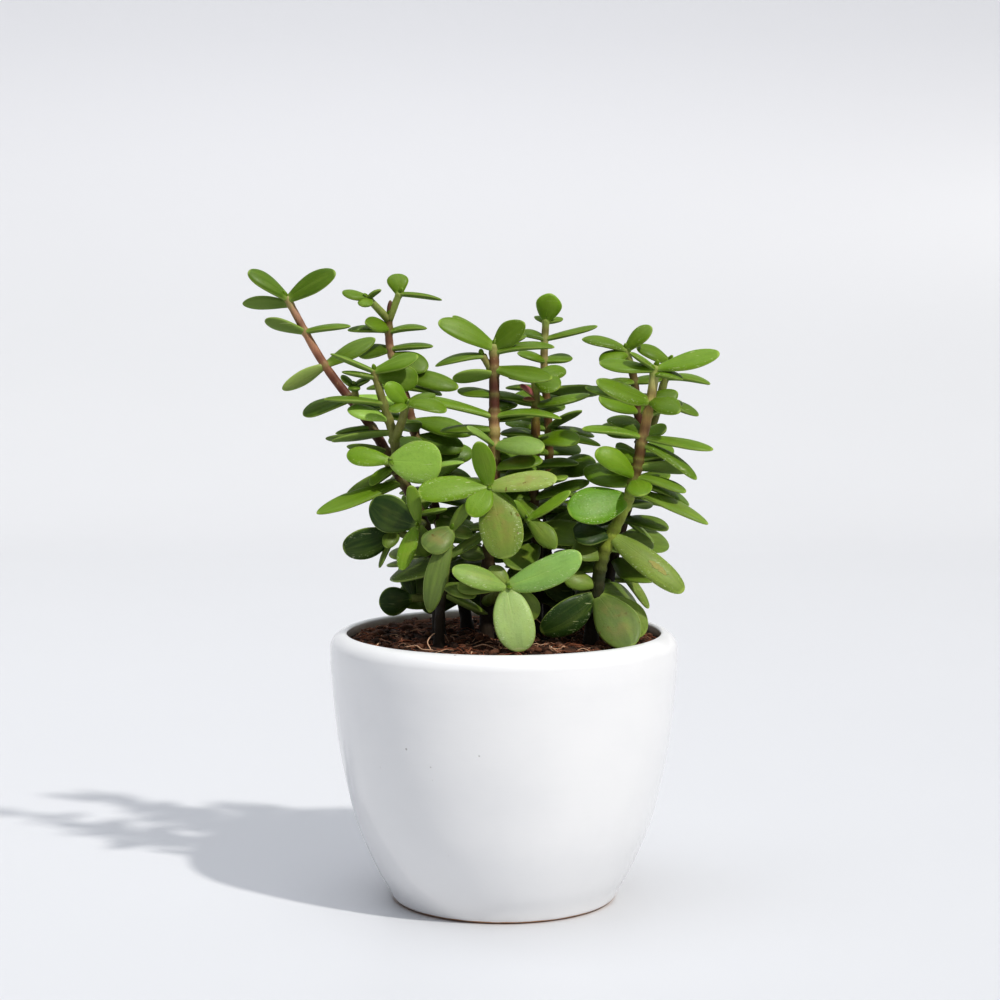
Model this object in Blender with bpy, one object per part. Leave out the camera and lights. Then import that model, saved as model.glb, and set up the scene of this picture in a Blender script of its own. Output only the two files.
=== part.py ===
"""A potted jade plant: a glazed pot, its soil, and eight leafy stems that stand in the soil.

Sizes below are in millimetres, and meshes are made in metres. +X is right, -Y is the front and +Z is up.
The origin is the middle of the pot's flat underside.
"""

import math
import random
from collections import namedtuple

import bmesh
import bpy
from mathutils import Matrix, Vector
from mathutils.bvhtree import BVHTree

MM = 0.001

# Pot, as a turned wall
POT_HEIGHT = 85.7
POT_FOOT_RADIUS = 33.1
POT_INNER_RIM_RADIUS = 49.8
POT_WALL = 5.0
POT_FLOOR = 7.0
POT_SIDES = 36
POT_OUTSIDE = ((36.0, 1.1), (37.6, 4.4), (41.2, 10.9), (46.8, 24.1), (50.2, 37.1), (52.7, 50.2), (54.2, 63.2),
               (55.2, 76.0))
INSIDE_HEIGHTS = (76.0, 50.2, 24.1, 10.9)
FLOOR_CORNER = 2.0
LIP_RADIUS = 5.0
LIP_END = 80
LIP_STEPS = 3
LIP_INSIDE = 0.4
SHARP_ANGLE = 40

# Soil, a plug with an uneven top
SOIL_LEVEL = 83.3
SOIL_EDGE_DROP = 0.7
SOIL_BUMP = 1.0
SOIL_RING_SHARES = (0.93, 0.7, 0.46, 0.22)
SOIL_SEED = 7
GAP = 0.3

# Stems
STEM_SIDES = 5
STEM_FOOT = 58.0
HOLE_GAP = 0.35
ROUTE_STEPS = 2
MOSTLY_BACK = 0.9

# Leaves
LEAF_KEEL = 1.5
LEAF_KEEL_ENDS = 0.8
LEAF_RIM = 0.45
LEAF_CORNERS = 3
LEAF_ROOT_WIDTH = 1.6
LEAF_WIDEST = 0.62
LEAF_SWELL = 1.15
LEAF_SUNK = 0.4
LEAF_STATIONS = (0.0, 0.2, 0.46, 0.74, 0.93)
LEAF_ARCH = (0.0, 0.09)
LEAF_CLEARANCE = 0.45
BEND_YAWS = (0, 7, -7, 14, -14, 21, -21, 30, -30, 40, -40)
BEND_PITCHES = (0, 6, -6, 12, -12, 18, -18, 26, -26)
PITCH_COST = 1.3
BENDS = sorted(((yaw, pitch) for yaw in BEND_YAWS for pitch in BEND_PITCHES),
               key=lambda bend: abs(bend[0]) + PITCH_COST * abs(bend[1]))
SHORTER = (1.0, 0.82)
SAME_BUD = 3.0

# Leaves that the rule adds between the listed ones, on the sides turned away from the front
# Values in pairs are for the lowest and the highest pair of leaves, and a spread is drawn at random.
RULE_START = 101.0
RULE_STOP = 162.0
RULE_BELOW_TIP = 10.0
RULE_SPACING = (6.0, 8.2)
RULE_SPACING_SPREAD = (0.9, 1.1)
RULE_LENGTH = (21.0, 13.0)
RULE_LENGTH_SPREAD = (0.85, 1.12)
RULE_LIFT = (-14.0, 22.0)
RULE_LIFT_SPREAD = (-12.0, 12.0)
RULE_FIRST_TURN = 45
RULE_TURN_SPREAD = (-20, 20)
RULE_WIDTH = 0.55
RULE_FACE_SPREAD = (0.0, 50.0)
RULE_SEED = 7
ALL_ROUND = ("back_left_stem", "centre_stem", "back_stem", "far_right_stem")
UNION_SOLVER = "MANIFOLD"

# A shoot has the radii of its foot and tip, the points that it passes through, and its listed leaves.
# A leaf has the height that it grows at, how far it reaches right, back and up, its width, and the angle
# that its upper face is turned to the front by.
Shoot = namedtuple("Shoot", "radii route leaves")
Leaf = namedtuple("Leaf", "height right back up width face")
TIP = -1

STEMS = {
    "left_stem": [
        Shoot((2.1, 0.9), ((-20, -8, STEM_FOOT), (-20.5, -8, 89), (-21, -9, 103), (-23.5, -10, 116),
                           (-28, -11, 128), (-33, -10, 136.5), (-42, -6, 151.5), (-56.5, -3, 170.5),
                           (-68, -2, 191)),
              ((191, -11.5, -4, 8.5, 7, 35), (190.5, 15.5, -5, 8.5, 7.5, 62), (189, -15.5, 3, 0, 5.5, -55),
               (180.5, -12.5, -2, 3.5, 6.5, -30), (180.5, 14.5, -2, 1.5, 5.5, 10),
               (170, -13, -4, -7.5, 6, -50), (170, 15.5, 5, 8.5, 6.5, 40), (159.5, -15, 2, -5, 7.5, 35),
               (160, 12.5, -9, -3.5, 6, 25), (150.5, -11, -5, -1.5, 4, 0), (148.5, -16.5, 3, -2, 6, -20),
               (143, -12, -5, 2, 6, -30), (138, -16, 4, -10, 6, -30), (138.5, -7.5, -5, -5, 4.5, 20),
               (134, -26.5, -8, -9, 7.5, 30), (124, 9.5, -2, 0.5, 5.5, 10), (112.5, -7, 1, -7, 7, 60),
               (133.5, 19, -4, 6.5, 5, 15), (105, -4.5, -1, 0.5, 3, 0))),
        Shoot((1.0, 0.8), ((-46, -6.5, 157), (-46.5, -10, 163.5)),
              ((TIP, -4, -2, 3.5, 3.5, 30), (TIP, 5, -1, 2.5, 4.5, 20), (TIP, 0.5, -5, 1, 4, 20))),
        Shoot((1.4, 1.0), ((-33, -10, 136.5), (-36, -9, 139.5), (-35, -18, 141)),
              ((TIP, -13.5, 0, 2, 7, 60), (TIP, 16, -4, -0.5, 13.5, 78))),
        Shoot((1.4, 1.0), ((-25.5, -10.5, 121), (-26.5, -22, 121.5)),
              ((TIP, -2, -3, 12.5, 4.5, 80), (TIP, -14.5, -1, 7, 12, 100), (TIP, -5, -4, -13.5, 5.5, 70),
               (TIP, 3, 4, -10, 8, 100))),
        Shoot((1.3, 1.0), ((-21, -8.5, 97), (-28.6, -10, 97.5)),
              ((TIP, -10.5, -2, -1.5, 9.5, 100), (TIP, -2.5, 0.5, 9.3, 5, 60))),
        Shoot((1.3, 1.0), ((-23, -9.5, 113), (-33.5, -6, 118)),
              ((TIP, -17, -2, -5.5, 10.5, 105), (TIP, -9, -2, -9, 4, 0), (TIP, -2, -3, -7, 5, 60))),
        Shoot((1.5, 0.9), ((-33, -10, 136.5), (-34, -12, 147), (-36, -13, 154.5), (-38, -14, 161),
                           (-40, -14, 168.5)),
              ((168.5, 13.5, -4, 5, 7, 40), (168.5, -13.5, -1, 5.5, 4.5, 0), (166.5, -10, 1, 4, 4.5, 0),
               (167, 13, 3, -1, 8.5, 72), (158.5, -18, -6, 1.5, 5, 10), (149.5, -19, 0, -2, 6, -20),
               (149.5, 9, -6, 2, 5, 30), (153.5, -12, -6, 3, 6.5, 40))),
        Shoot((1.3, 0.9), ((-34, -12, 147), (-31.5, -17, 153), (-30, -20, 158.5)),
              ((TIP, -6, -4, 6.5, 6, 60), (TIP, 12.5, -3, -1.5, 7, 30), (TIP, -4.5, -5, -2, 4.5, 40),
               (TIP, 10, 5, 3, 6, 20))),
    ],
    "front_left_stem": [
        Shoot((1.7, 0.9), ((-19.5, -21, STEM_FOOT), (-20, -22.5, 88.5), (-18.5, -25, 103.5),
                           (-16, -27, 120.5)),
              ((120.5, -8.5, -4, -5.5, 9, 60), (120.5, 6, -2, 8.5, 4, 70), (120.5, -4.5, -3, -25.5, 7, 85),
               (119.5, 6.5, 2, 0, 6, 40), (112, 7.5, 3, 12, 3.5, 70), (103, 10, -4, -2.5, 7, 35))),
    ],
    "back_left_stem": [
        Shoot((1.9, 1.0), ((-11, 12, STEM_FOOT), (-12, 12, 86.5), (-16.5, 14, 103.5), (-22.5, 18, 123.5),
                           (-28, 22, 143.5), (-32, 24, 159), (-37, 26, 174.5), (-37.5, 26, 185)),
              ((181.5, -7.5, -6, 1.5, 6.5, 55), (180.5, -13.5, 0, 0.5, 5.5, 15), (180, 12.5, 0, 1.5, 5.5, 10),
               (184, 0.5, -3, 6, 2, 60), (174.5, 14, 0, 1, 5.5, 10), (174.5, -11, 2, -1.5, 7, 40),
               (172.5, 11.5, -5, -4.5, 8, 60), (167, 20, -3, -5, 7.5, 50), (162, -12, 2, 0, 6, 10),
               (162, 13, -1, -2, 6, 15), (151, 12, 4, 0, 6, 10), (151, -12, 4, 2, 6, 10),
               (151, 20, -2, -4, 7.5, 55), (145.5, 15, -4, -3, 8, 60), (139.5, 17, -3, 1, 8, 60),
               (134.5, 16, -5, -4, 8, 62), (132, 13, -6, 7.5, 4.5, 60), (128.5, 12, -5, 4, 8, 60),
               (128.5, -10, 5, -1, 7, 10), (121, 11, -5, -1, 8, 60), (121, -10, -6, 0, 8, 55),
               (94, 14, -6, -2, 9, 60), (94, -13, -4, -2, 9, 60))),
        Shoot((1.1, 0.9), ((-37.5, 26, 184), (-34, 25, 192.5)),
              ((TIP, -1, 3, 6.5, 7, 70), (TIP, 14, 0, -1.5, 4.5, 5))),
        Shoot((1.1, 0.9), ((-37.5, 26, 184), (-44, 24, 191)),
              ((TIP, -8.5, -1, 2, 6, 30), (TIP, 5, -1, 2.5, 3.5, 10), (TIP, -2, -4, -3.5, 5, 40))),
    ],
    "middle_stem": [
        Shoot((2.2, 1.3), ((-5.5, -8, STEM_FOOT), (-5.5, -8, 89), (-5, -9, 106), (-4, -10, 121),
                           (-3, -10, 137), (-3, -8, 150.5), (-3, -7, 165), (-3, -6, 176)),
              ((175.5, -17.5, -5, 8, 7.5, 50), (175.5, -13, 6, 10, 7, 20), (175.5, 9.5, -4, 8, 8, 65),
               (175.5, 10, 4, 4, 4.5, 10), (174, 18.5, -1, 4, 6, 15), (167.5, -13, -2, -1.5, 7, -35),
               (169, 18, -5, -2.5, 8, 40), (154, -25, -2, 6, 6.5, 15), (154, 21, -3, 0, 6.5, 10),
               (161, -11.5, 4, 1, 6, 20), (150, -17, 3, 0, 6, 15), (145, -7.5, -8, 8.5, 5, 30),
               (145, 15.5, -8, -0.5, 8, 45), (146.5, 5, -3, 2.5, 4, 20), (138, 15, -3, 3, 7, 30),
               (123, -7, -5, -7, 4.5, 60), (121, 10, 4, 3, 7, 20), (111, -9, 3, 2, 8, 40),
               (111, 9, 2, 1, 8, 30))),
        Shoot((1.0, 0.8), ((-3, -6.5, 167), (-6.5, -6, 173)),
              ((TIP, -15, -1, -3, 6, 20),)),
        Shoot((1.6, 1.2), ((-4, -10, 125), (-4.5, -18, 130), (-4.5, -26, 133.5)),
              ((TIP, -3.5, -5, 14.5, 7, 85), (TIP, -21.5, -6, -1.5, 9, 55), (TIP, 20.5, -6, 3, 8, 50),
               (TIP, -5.5, -7, -8, 8, 60), (TIP, 5.5, -7, -21, 13.5, 80), (TIP, 8.5, -1, -7.5, 4, 40))),
        Shoot((1.6, 1.2), ((-5.5, -8.5, 96), (-2, -20, 99.5), (1, -30, 103.5)),
              ((TIP, -16.5, -5, 6, 8, 50), (TIP, 22.5, -4, 10, 10.5, 60), (TIP, 4.2, -8, -18.6, 12.5, 80),
               (TIP, 9, 1, -10, 8.5, 70), (TIP, -15, 2, -1.5, 7, 60), (TIP, -5, 2, 6, 6, 60))),
    ],
    "centre_stem": [
        Shoot((1.9, 1.1), ((10, 2, STEM_FOOT), (10.5, 2, 87.5), (11, 1, 105), (10, 0, 120), (9.5, -1, 132),
                           (10, -2, 146), (10, -2, 158), (10, -2, 166)),
              ((165, -8.5, -3, 1.5, 5, -20), (165, 7.5, -4, -2, 8, 50), (165.5, 11, 0, 3.5, 6.5, 45),
               (157.5, -20, 0, 3.5, 6.5, 10), (157.5, 17, -4, 3.5, 6.5, 25), (147, 20.5, -2, -2, 6, 15),
               (147, -11, -1, 2, 6, 10), (138, -16.5, -4, -1.5, 6, 40), (138, 14, 0, 1, 6, 20),
               (128, 17, -6, 6, 6, 30), (128, -10, 2, 3, 7, 30), (117, 19, -2, 9, 7, 20),
               (117, -9, -3, -2, 7, 40), (104, 10, -6, -8, 8, 60), (104, -8, 3, -6, 8, 50),
               (95, -12, -5, -1, 9, 60), (96, 12, -4, 0, 8, 50))),
        Shoot((1.2, 0.9), ((10, 0, 118), (7.5, -18, 123)),
              ((TIP, 8.5, -5, -8.5, 6.5, 65), (TIP, -4.5, -2, 6, 3, 60), (TIP, 13, -3, 9, 5, 30))),
    ],
    "back_stem": [
        Shoot((1.8, 0.9), ((14.5, 18, STEM_FOOT), (14.5, 18, 85.5), (14, 17, 108), (14.5, 16, 128.5),
                           (14.5, 15, 149), (13, 14, 169.5), (13.5, 13, 184)),
              ((184, 1.5, -3, 8.5, 8.5, 85), (183.5, 5.5, 4, 1, 4, 10), (183.5, -3.5, 4, 0, 3, 10),
               (178, 17, 0, 4, 5, 10), (178, -8, 1, 2, 5, 20), (171, -8.5, -4, 2.5, 6, 30),
               (171, 9, 4, 1, 6, 20), (161.5, 19, 3, -1, 8, -30), (161.5, -13, 4, 1, 6, 10),
               (149, 15, 2, -2, 7, 10), (149, -14, 4, 2, 7, 10), (137, 16, 3, 0, 8, 10),
               (137, -13, 3, 1, 8, 10), (122.5, 14, 2, 0, 8, 30), (122.5, -12, 4, 1, 8, 30),
               (97, -12, -3, -2, 9, 50))),
    ],
    "right_stem": [
        Shoot((2.2, 1.2), ((26.5, -12, STEM_FOOT), (27.5, -13, 89), (29, -14, 100.5), (30.5, -15, 110),
                           (33.5, -15, 118), (36.5, -14, 124), (39.5, -14, 131.5), (41.5, -14, 139.5),
                           (43.5, -14, 150), (45.5, -13, 159.5), (47, -12, 169.5)),
              ((169, -17.5, -2, 2, 7, 30), (169, 19.5, -5, 5, 7.5, 45), (169, -8, -4, 5.5, 4.5, 20),
               (167.5, 8.5, -4, -1.5, 5, 20), (159, -17, -6, 6.5, 9, 45), (158.5, -20, 3, 5.5, 6, 20),
               (159, 8.5, -9, -3, 7.5, 50), (148, -19, -3, 3, 6, 15), (148, 21.5, -4, -3, 7, 15),
               (146, 17, -5, -10, 6, 20), (141, -10, 5, 2, 7, 40), (138.5, 16, 3, -1, 7, -30),
               (135.5, -12.5, -6, 8.5, 7.5, 60), (135.5, 15.5, -5, -4.5, 5.5, 20), (134, 18, 5, -7, 6.5, 20),
               (134.5, 0.5, -10, -6, 8, 60), (131.5, 23.5, -6, -10, 7, 25), (129, -19, -8, -3.5, 12.5, 65),
               (117.5, 22, -8, -16.5, 9, 60), (117.5, -12, -3, -2, 10, 40),
               (110.5, -9, -4, 3, 8, 50), (102, -9.5, -4, 5, 7, 50), (99, 10, -16, -14.5, 13.5, 76),
               (99, 13, -9, -12, 11, 70), (99, -17.5, -8, -10.5, 11, 95))),
    ],
    "far_right_stem": [
        Shoot((1.9, 1.0), ((27.5, 8, STEM_FOOT), (30.5, 8, 88.5), (33, 8, 97.5), (35.5, 8, 109),
                           (38.5, 8, 120), (41, 8, 130), (43, 8, 141), (43.5, 8, 149), (42.5, 8, 157),
                           (41.5, 8, 165.5), (39, 8, 174.5)),
              ((174.5, 8, -2, 7.5, 6.5, 45), (174.5, -14, -1, 4, 6.5, 25), (173.5, -9, -4, -1.5, 6.5, 50),
               (164.5, -9, -2, -1, 6, 20), (164.5, 9, 3, 1, 6, 20), (149.5, -12, 3, 1, 7, 20),
               (137.5, 14, -1, -1, 7, -30), (137.5, -13, 4, 0, 7, 20), (121, 10, 2, -8, 5, 10),
               (121, -12, 3, 2, 8, 20), (107, 12, -1, -15, 5, 20))),
        Shoot((1.4, 0.9), ((43, 8, 144.5), (47.5, 11, 150.5), (50, 12, 158.5), (53, 12, 170.5)),
              ((170.5, -10.5, -3, 5, 6.5, 40), (165.5, 14.5, -1, -2, 6, 15), (158, 13, 0, -4, 6, 20),
               (157.5, -9, 4, 2, 6, 20), (165.5, 3, 5, 5, 6, 20))),
    ],
}


def clear_scene():
    for old in list(bpy.data.objects):
        bpy.data.objects.remove(old, do_unlink=True)


def material(name, colour, roughness):
    made = bpy.data.materials.new(name)
    made.use_nodes = True
    shader = made.node_tree.nodes["Principled BSDF"]
    shader.inputs["Base Color"].default_value = (*colour, 1.0)
    shader.inputs["Roughness"].default_value = roughness
    shader.inputs["Metallic"].default_value = 0.0
    return made


def mesh_object(name, points, faces):
    """An object from points in millimetres."""
    mesh = bpy.data.meshes.new(name)
    mesh.from_pydata([Vector(point) * MM for point in points], [], faces)
    made = bpy.data.objects.new(name, mesh)
    bpy.context.scene.collection.objects.link(made)
    return made


def ring_faces(rings, sides):
    """Quads between rings of points, each ring counter-clockwise seen from the end that it faces."""
    faces = []
    for ring in range(rings - 1):
        for side in range(sides):
            here = ring * sides + side
            beside = ring * sides + (side + 1) % sides
            faces.append((here, beside, beside + sides, here + sides))
    return faces


def smooth_round(made):
    made.data.shade_smooth()
    made.data.set_sharp_from_angle(angle=math.radians(SHARP_ANGLE))


def arc(centre_radius, centre_height, radius, start, end, steps):
    """Points (radius, height) on an arc, both ends included."""
    points = []
    for step in range(steps + 1):
        angle = math.radians(start + (end - start) * step / steps)
        points.append((centre_radius + radius * math.cos(angle), centre_height + radius * math.sin(angle)))
    return points


def turned(name, profile, sides):
    """A closed solid turned round Z from a profile that starts and ends on the axis."""
    points = [(0, 0, profile[0][1])]
    for radius, height in profile[1:-1]:
        for side in range(sides):
            angle = 2 * math.pi * side / sides
            points.append((radius * math.cos(angle), radius * math.sin(angle), height))
    points.append((0, 0, profile[-1][1]))
    last = len(points) - 1
    faces = [tuple(index + 1 for index in face) for face in ring_faces(len(profile) - 2, sides)]
    for side in range(sides):
        beside = (side + 1) % sides
        faces.append((0, 1 + beside, 1 + side))
        faces.append((last, last - sides + side, last - sides + beside))
    return mesh_object(name, points, faces)


def inside_radius(height):
    """Radius of the pot's inner wall at a height."""
    outside = ((POT_FOOT_RADIUS, 0.0),) + POT_OUTSIDE + ((POT_INNER_RIM_RADIUS + POT_WALL, POT_HEIGHT),)
    for (low_radius, low), (high_radius, high) in zip(outside[:-1], outside[1:]):
        if height <= high:
            share = (height - low) / (high - low)
            return low_radius + (high_radius - low_radius) * share - POT_WALL
    return POT_INNER_RIM_RADIUS


def pot():
    """The wall from the underside out over the lip and down inside to the floor."""
    lip = arc(POT_OUTSIDE[-1][0] - LIP_RADIUS, POT_HEIGHT - LIP_RADIUS, LIP_RADIUS, 0, LIP_END, LIP_STEPS)
    lip += [(POT_INNER_RIM_RADIUS + LIP_INSIDE, POT_HEIGHT), (POT_INNER_RIM_RADIUS, POT_HEIGHT - LIP_INSIDE)]
    inside = [(inside_radius(height), height) for height in INSIDE_HEIGHTS]
    floor = [(inside_radius(POT_FLOOR) - FLOOR_CORNER, POT_FLOOR), (0, POT_FLOOR)]
    profile = [(0, 0), (POT_FOOT_RADIUS, 0), *POT_OUTSIDE, *lip, *inside, *floor]
    made = turned("pot", profile, POT_SIDES)
    smooth_round(made)
    made.data.materials.append(material("white_glaze", (0.86, 0.86, 0.87), 0.2))
    return made


def soil():
    """A plug that fills the pot, with an uneven top."""
    draw = random.Random(SOIL_SEED)
    bottom = POT_FLOOR + GAP
    heights = (*reversed(INSIDE_HEIGHTS), SOIL_LEVEL - SOIL_EDGE_DROP)
    wall = [(inside_radius(height) - GAP, height) for height in heights]
    top = [(wall[-1][0] * share, SOIL_LEVEL) for share in SOIL_RING_SHARES]
    corner = inside_radius(POT_FLOOR) - FLOOR_CORNER - GAP
    profile = [(0, bottom), (corner, bottom), *wall, *top, (0, SOIL_LEVEL)]
    made = turned("soil", profile, POT_SIDES)
    for vertex in made.data.vertices:
        if vertex.co.z > (SOIL_LEVEL - 0.5 * SOIL_EDGE_DROP) * MM:
            vertex.co.z += draw.uniform(-SOIL_BUMP, SOIL_BUMP) * MM
    made.data.materials.append(material("coco_soil", (0.05, 0.025, 0.015), 0.95))
    return made


def smooth_route(points):
    """A smooth line through all the points of a route."""
    route = [Vector(point) for point in points]
    route = [2 * route[0] - route[1], *route, 2 * route[-1] - route[-2]]
    line = []
    for before, start, end, after in zip(route[:-3], route[1:-2], route[2:-1], route[3:]):
        for step in range(ROUTE_STEPS):
            share = step / ROUTE_STEPS
            line.append(0.5 * (2 * start + (end - before) * share
                               + (2 * before - 5 * start + 4 * end - after) * share ** 2
                               + (3 * start - before - 3 * end + after) * share ** 3))
    line.append(route[-2])
    return line


def tube(name, line, radii, sides, swell=0.0):
    """A tapered tube along a line, closed at both ends, with all its rings turned alike."""
    points = []
    for index, place in enumerate(line):
        ahead = line[min(index + 1, len(line) - 1)]
        behind = line[max(index - 1, 0)]
        along = (ahead - behind).normalized()
        right = along.orthogonal() if abs(along.y) > MOSTLY_BACK else Vector((0, 1, 0)).cross(along)
        right.normalize()
        front = along.cross(right)
        share = index / (len(line) - 1)
        radius = between(radii, share) + swell
        for side in range(sides):
            angle = 2 * math.pi * side / sides
            points.append(place + radius * (math.cos(angle) * right + math.sin(angle) * front))
    faces = ring_faces(len(line), sides)
    faces.append(tuple(reversed(range(sides))))
    faces.append(tuple(range(len(points) - sides, len(points))))
    return mesh_object(name, points, faces)


def point_on(line, height):
    """The place on a shoot's line at a height, or its tip."""
    if height == TIP:
        return line[-1]
    for start, end in zip(line[:-1], line[1:]):
        if start.z <= height <= end.z:
            return start.lerp(end, (height - start.z) / (end.z - start.z))
    return line[-1]


def half_width(share, width):
    """Half a leaf's width at a share of its length: a narrow root, widest past the middle, a round tip."""
    root = LEAF_ROOT_WIDTH / width
    if share < LEAF_WIDEST:
        swell = math.sin(0.5 * math.pi * share / LEAF_WIDEST) ** LEAF_SWELL
        return 0.5 * width * (root + (1 - root) * swell)
    past = (share - LEAF_WIDEST) / (1 - LEAF_WIDEST)
    return 0.5 * width * math.sqrt(max(0.0, 1 - past ** 2))


def leaf_points(base, reach, width, face, arch, margin=0.0):
    """The two edges and the keel below at each station of a leaf, then its tip."""
    length = reach.length
    along = reach.normalized()
    turn = math.radians(face)
    upward = Vector((0, -math.sin(turn), math.cos(turn)))
    upward = (upward - along * upward.dot(along)).normalized()
    across = upward.cross(along)
    base = base - along * LEAF_SUNK
    reach = reach + along * LEAF_SUNK
    points = []
    for share in LEAF_STATIONS:
        middle = base + reach * share + upward * (4 * share * (1 - share) * arch * length)
        half = half_width(share, width) + margin
        middle_share = math.sin(math.pi * share)
        thick = LEAF_KEEL * (LEAF_KEEL_ENDS + (1 - LEAF_KEEL_ENDS) * middle_share) + margin
        rim = upward * thick * LEAF_RIM
        points += [middle + across * half + rim, middle - across * half + rim, middle - upward * thick]
    points.append(base + reach * (1 + margin / length))
    return points


def leaf_faces():
    last_ring = LEAF_CORNERS * (len(LEAF_STATIONS) - 1)
    faces = ring_faces(len(LEAF_STATIONS), LEAF_CORNERS)
    faces.append(tuple(reversed(range(LEAF_CORNERS))))
    for side in range(LEAF_CORNERS):
        faces.append((last_ring + side, last_ring + (side + 1) % LEAF_CORNERS, last_ring + LEAF_CORNERS))
    return faces


# A whole leaf, a leaf without its root, and its outer half
LEAF_FACES = leaf_faces()
BLADE_FACES = [face for face in LEAF_FACES if min(face) >= LEAF_CORNERS]
OUTER_FACES = [face for face in LEAF_FACES if min(face) >= 2 * LEAF_CORNERS]


def swung(reach, yaw, pitch):
    """A leaf's reach turned round the upright and then up or down."""
    turned_reach = Matrix.Rotation(math.radians(yaw), 3, "Z") @ reach
    side = turned_reach.cross(Vector((0, 0, 1))).normalized()
    return Matrix.Rotation(math.radians(pitch), 3, side) @ turned_reach


class Placed:
    """A leaf in its place, with the shapes that show whether it crosses another."""

    def __init__(self, node, base, reach, width, face, arch):
        self.node = node
        self.base = base
        self.points = leaf_points(base, reach, width, face, arch)
        self.middle = base + 0.5 * reach
        self.span = 0.5 * reach.length + width
        wide = leaf_points(base, reach, width, face, arch, LEAF_CLEARANCE)
        self.near = BVHTree.FromPolygons(wide, LEAF_FACES)
        self.blade = BVHTree.FromPolygons(wide, BLADE_FACES)
        self.outer = BVHTree.FromPolygons(wide, OUTER_FACES)
        self.own = BVHTree.FromPolygons(self.points, LEAF_FACES)

    def crosses(self, other):
        if (self.middle - other.middle).length > self.span + other.span:
            return False
        if self.node == other.node:
            if (self.base - other.base).length < SAME_BUD:
                return bool(self.outer.overlap(other.outer))
            return bool(self.blade.overlap(other.blade))
        return bool(self.near.overlap(other.own))


class Solid:
    """A stem's tube, the soil or the pot, which leaves keep clear of."""

    def __init__(self, node, made):
        points = [vertex.co / MM for vertex in made.data.vertices]
        self.node = node
        self.own = BVHTree.FromPolygons(points, [tuple(face.vertices) for face in made.data.polygons])

    def crossed_by(self, placed):
        shape = placed.blade if placed.node == self.node else placed.near
        return bool(shape.overlap(self.own))


def bent_clear(node, base, wanted, arch, solids, leaves):
    """The leaf in its wanted place, or bent as little as keeps it clear of the rest, or nothing."""
    straight = Vector((wanted.right, wanted.back, wanted.up))
    for share in SHORTER:
        for yaw, pitch in BENDS:
            reach = swung(straight, yaw, pitch) * share
            placed = Placed(node, base, reach, wanted.width * share, wanted.face, arch)
            if any(solid.crossed_by(placed) for solid in solids):
                continue
            if not any(placed.crosses(other) for other in leaves):
                return placed
    return None


def between(ends, share):
    return ends[0] + (ends[1] - ends[0]) * share


def rule_leaves(line, draw, all_round):
    """Crossed pairs up a stem, each turned a quarter from the last. A front stem keeps those behind it."""
    top = min(line[-1].z - RULE_BELOW_TIP, RULE_STOP)
    leaves = []
    height = RULE_START
    quarter = 0
    while height < top:
        age = (height - RULE_START) / (RULE_STOP - RULE_START)
        for opposite in (0, 180):
            turn = RULE_FIRST_TURN + 90 * quarter + opposite + draw.uniform(*RULE_TURN_SPREAD)
            lift = math.radians(between(RULE_LIFT, age) + draw.uniform(*RULE_LIFT_SPREAD))
            length = between(RULE_LENGTH, age) * draw.uniform(*RULE_LENGTH_SPREAD)
            face = draw.uniform(*RULE_FACE_SPREAD)
            right = math.cos(math.radians(turn))
            back = math.sin(math.radians(turn))
            if back > 0 or all_round:
                flat = length * math.cos(lift)
                up = length * math.sin(lift)
                leaves.append(Leaf(height, flat * right, flat * back, up, RULE_WIDTH * length, face))
        height += between(RULE_SPACING, age) * draw.uniform(*RULE_SPACING_SPREAD)
        quarter += 1
    return leaves


def apply_modifiers(made):
    bpy.context.view_layer.update()
    depsgraph = bpy.context.evaluated_depsgraph_get()
    whole = bpy.data.meshes.new_from_object(made.evaluated_get(depsgraph))
    made.modifiers.clear()
    made.data = whole


def whole_body(mesh):
    """The mesh's largest body alone: a sealed hollow is filled, and a loose scrap is dropped."""
    shape = bmesh.new()
    shape.from_mesh(mesh)
    left = set(shape.faces)
    bodies = []
    while left:
        body = {left.pop()}
        edge = list(body)
        while edge:
            face = edge.pop()
            for beside in {other for side in face.edges for other in side.link_faces}:
                if beside in left:
                    left.remove(beside)
                    body.add(beside)
                    edge.append(beside)
        bodies.append(body)
    largest = max(bodies, key=len)
    scraps = [face for body in bodies if body is not largest for face in body]
    bmesh.ops.delete(shape, geom=scraps, context="FACES")
    shape.to_mesh(mesh)
    shape.free()


def grown(base, tubes, placed, made_of):
    """One body from a stem's tubes and leaves."""
    parts = bpy.data.collections.new(base.name + "_parts")
    for tube_object in tubes:
        bpy.context.scene.collection.objects.unlink(tube_object)
        parts.objects.link(tube_object)
    for leaf_placed in placed:
        blade = mesh_object("leaf", leaf_placed.points, LEAF_FACES)
        bpy.context.scene.collection.objects.unlink(blade)
        parts.objects.link(blade)
    union = base.modifiers.new("grown", "BOOLEAN")
    union.operation = "UNION"
    union.operand_type = "COLLECTION"
    union.collection = parts
    union.solver = UNION_SOLVER
    apply_modifiers(base)
    whole_body(base.data)
    for part in list(parts.objects):
        bpy.data.objects.remove(part, do_unlink=True)
    bpy.data.collections.remove(parts)
    base.data.materials.clear()
    base.data.materials.append(made_of)


def grow(name, line, wanted_leaves, draw, solids, leaves):
    """Adds the leaves of one shoot to those in place, without the few that find no room."""
    for wanted in wanted_leaves:
        arch = draw.uniform(*LEAF_ARCH)
        placed = bent_clear(name, point_on(line, wanted.height), wanted, arch, solids, leaves)
        if placed:
            leaves.append(placed)


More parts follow.
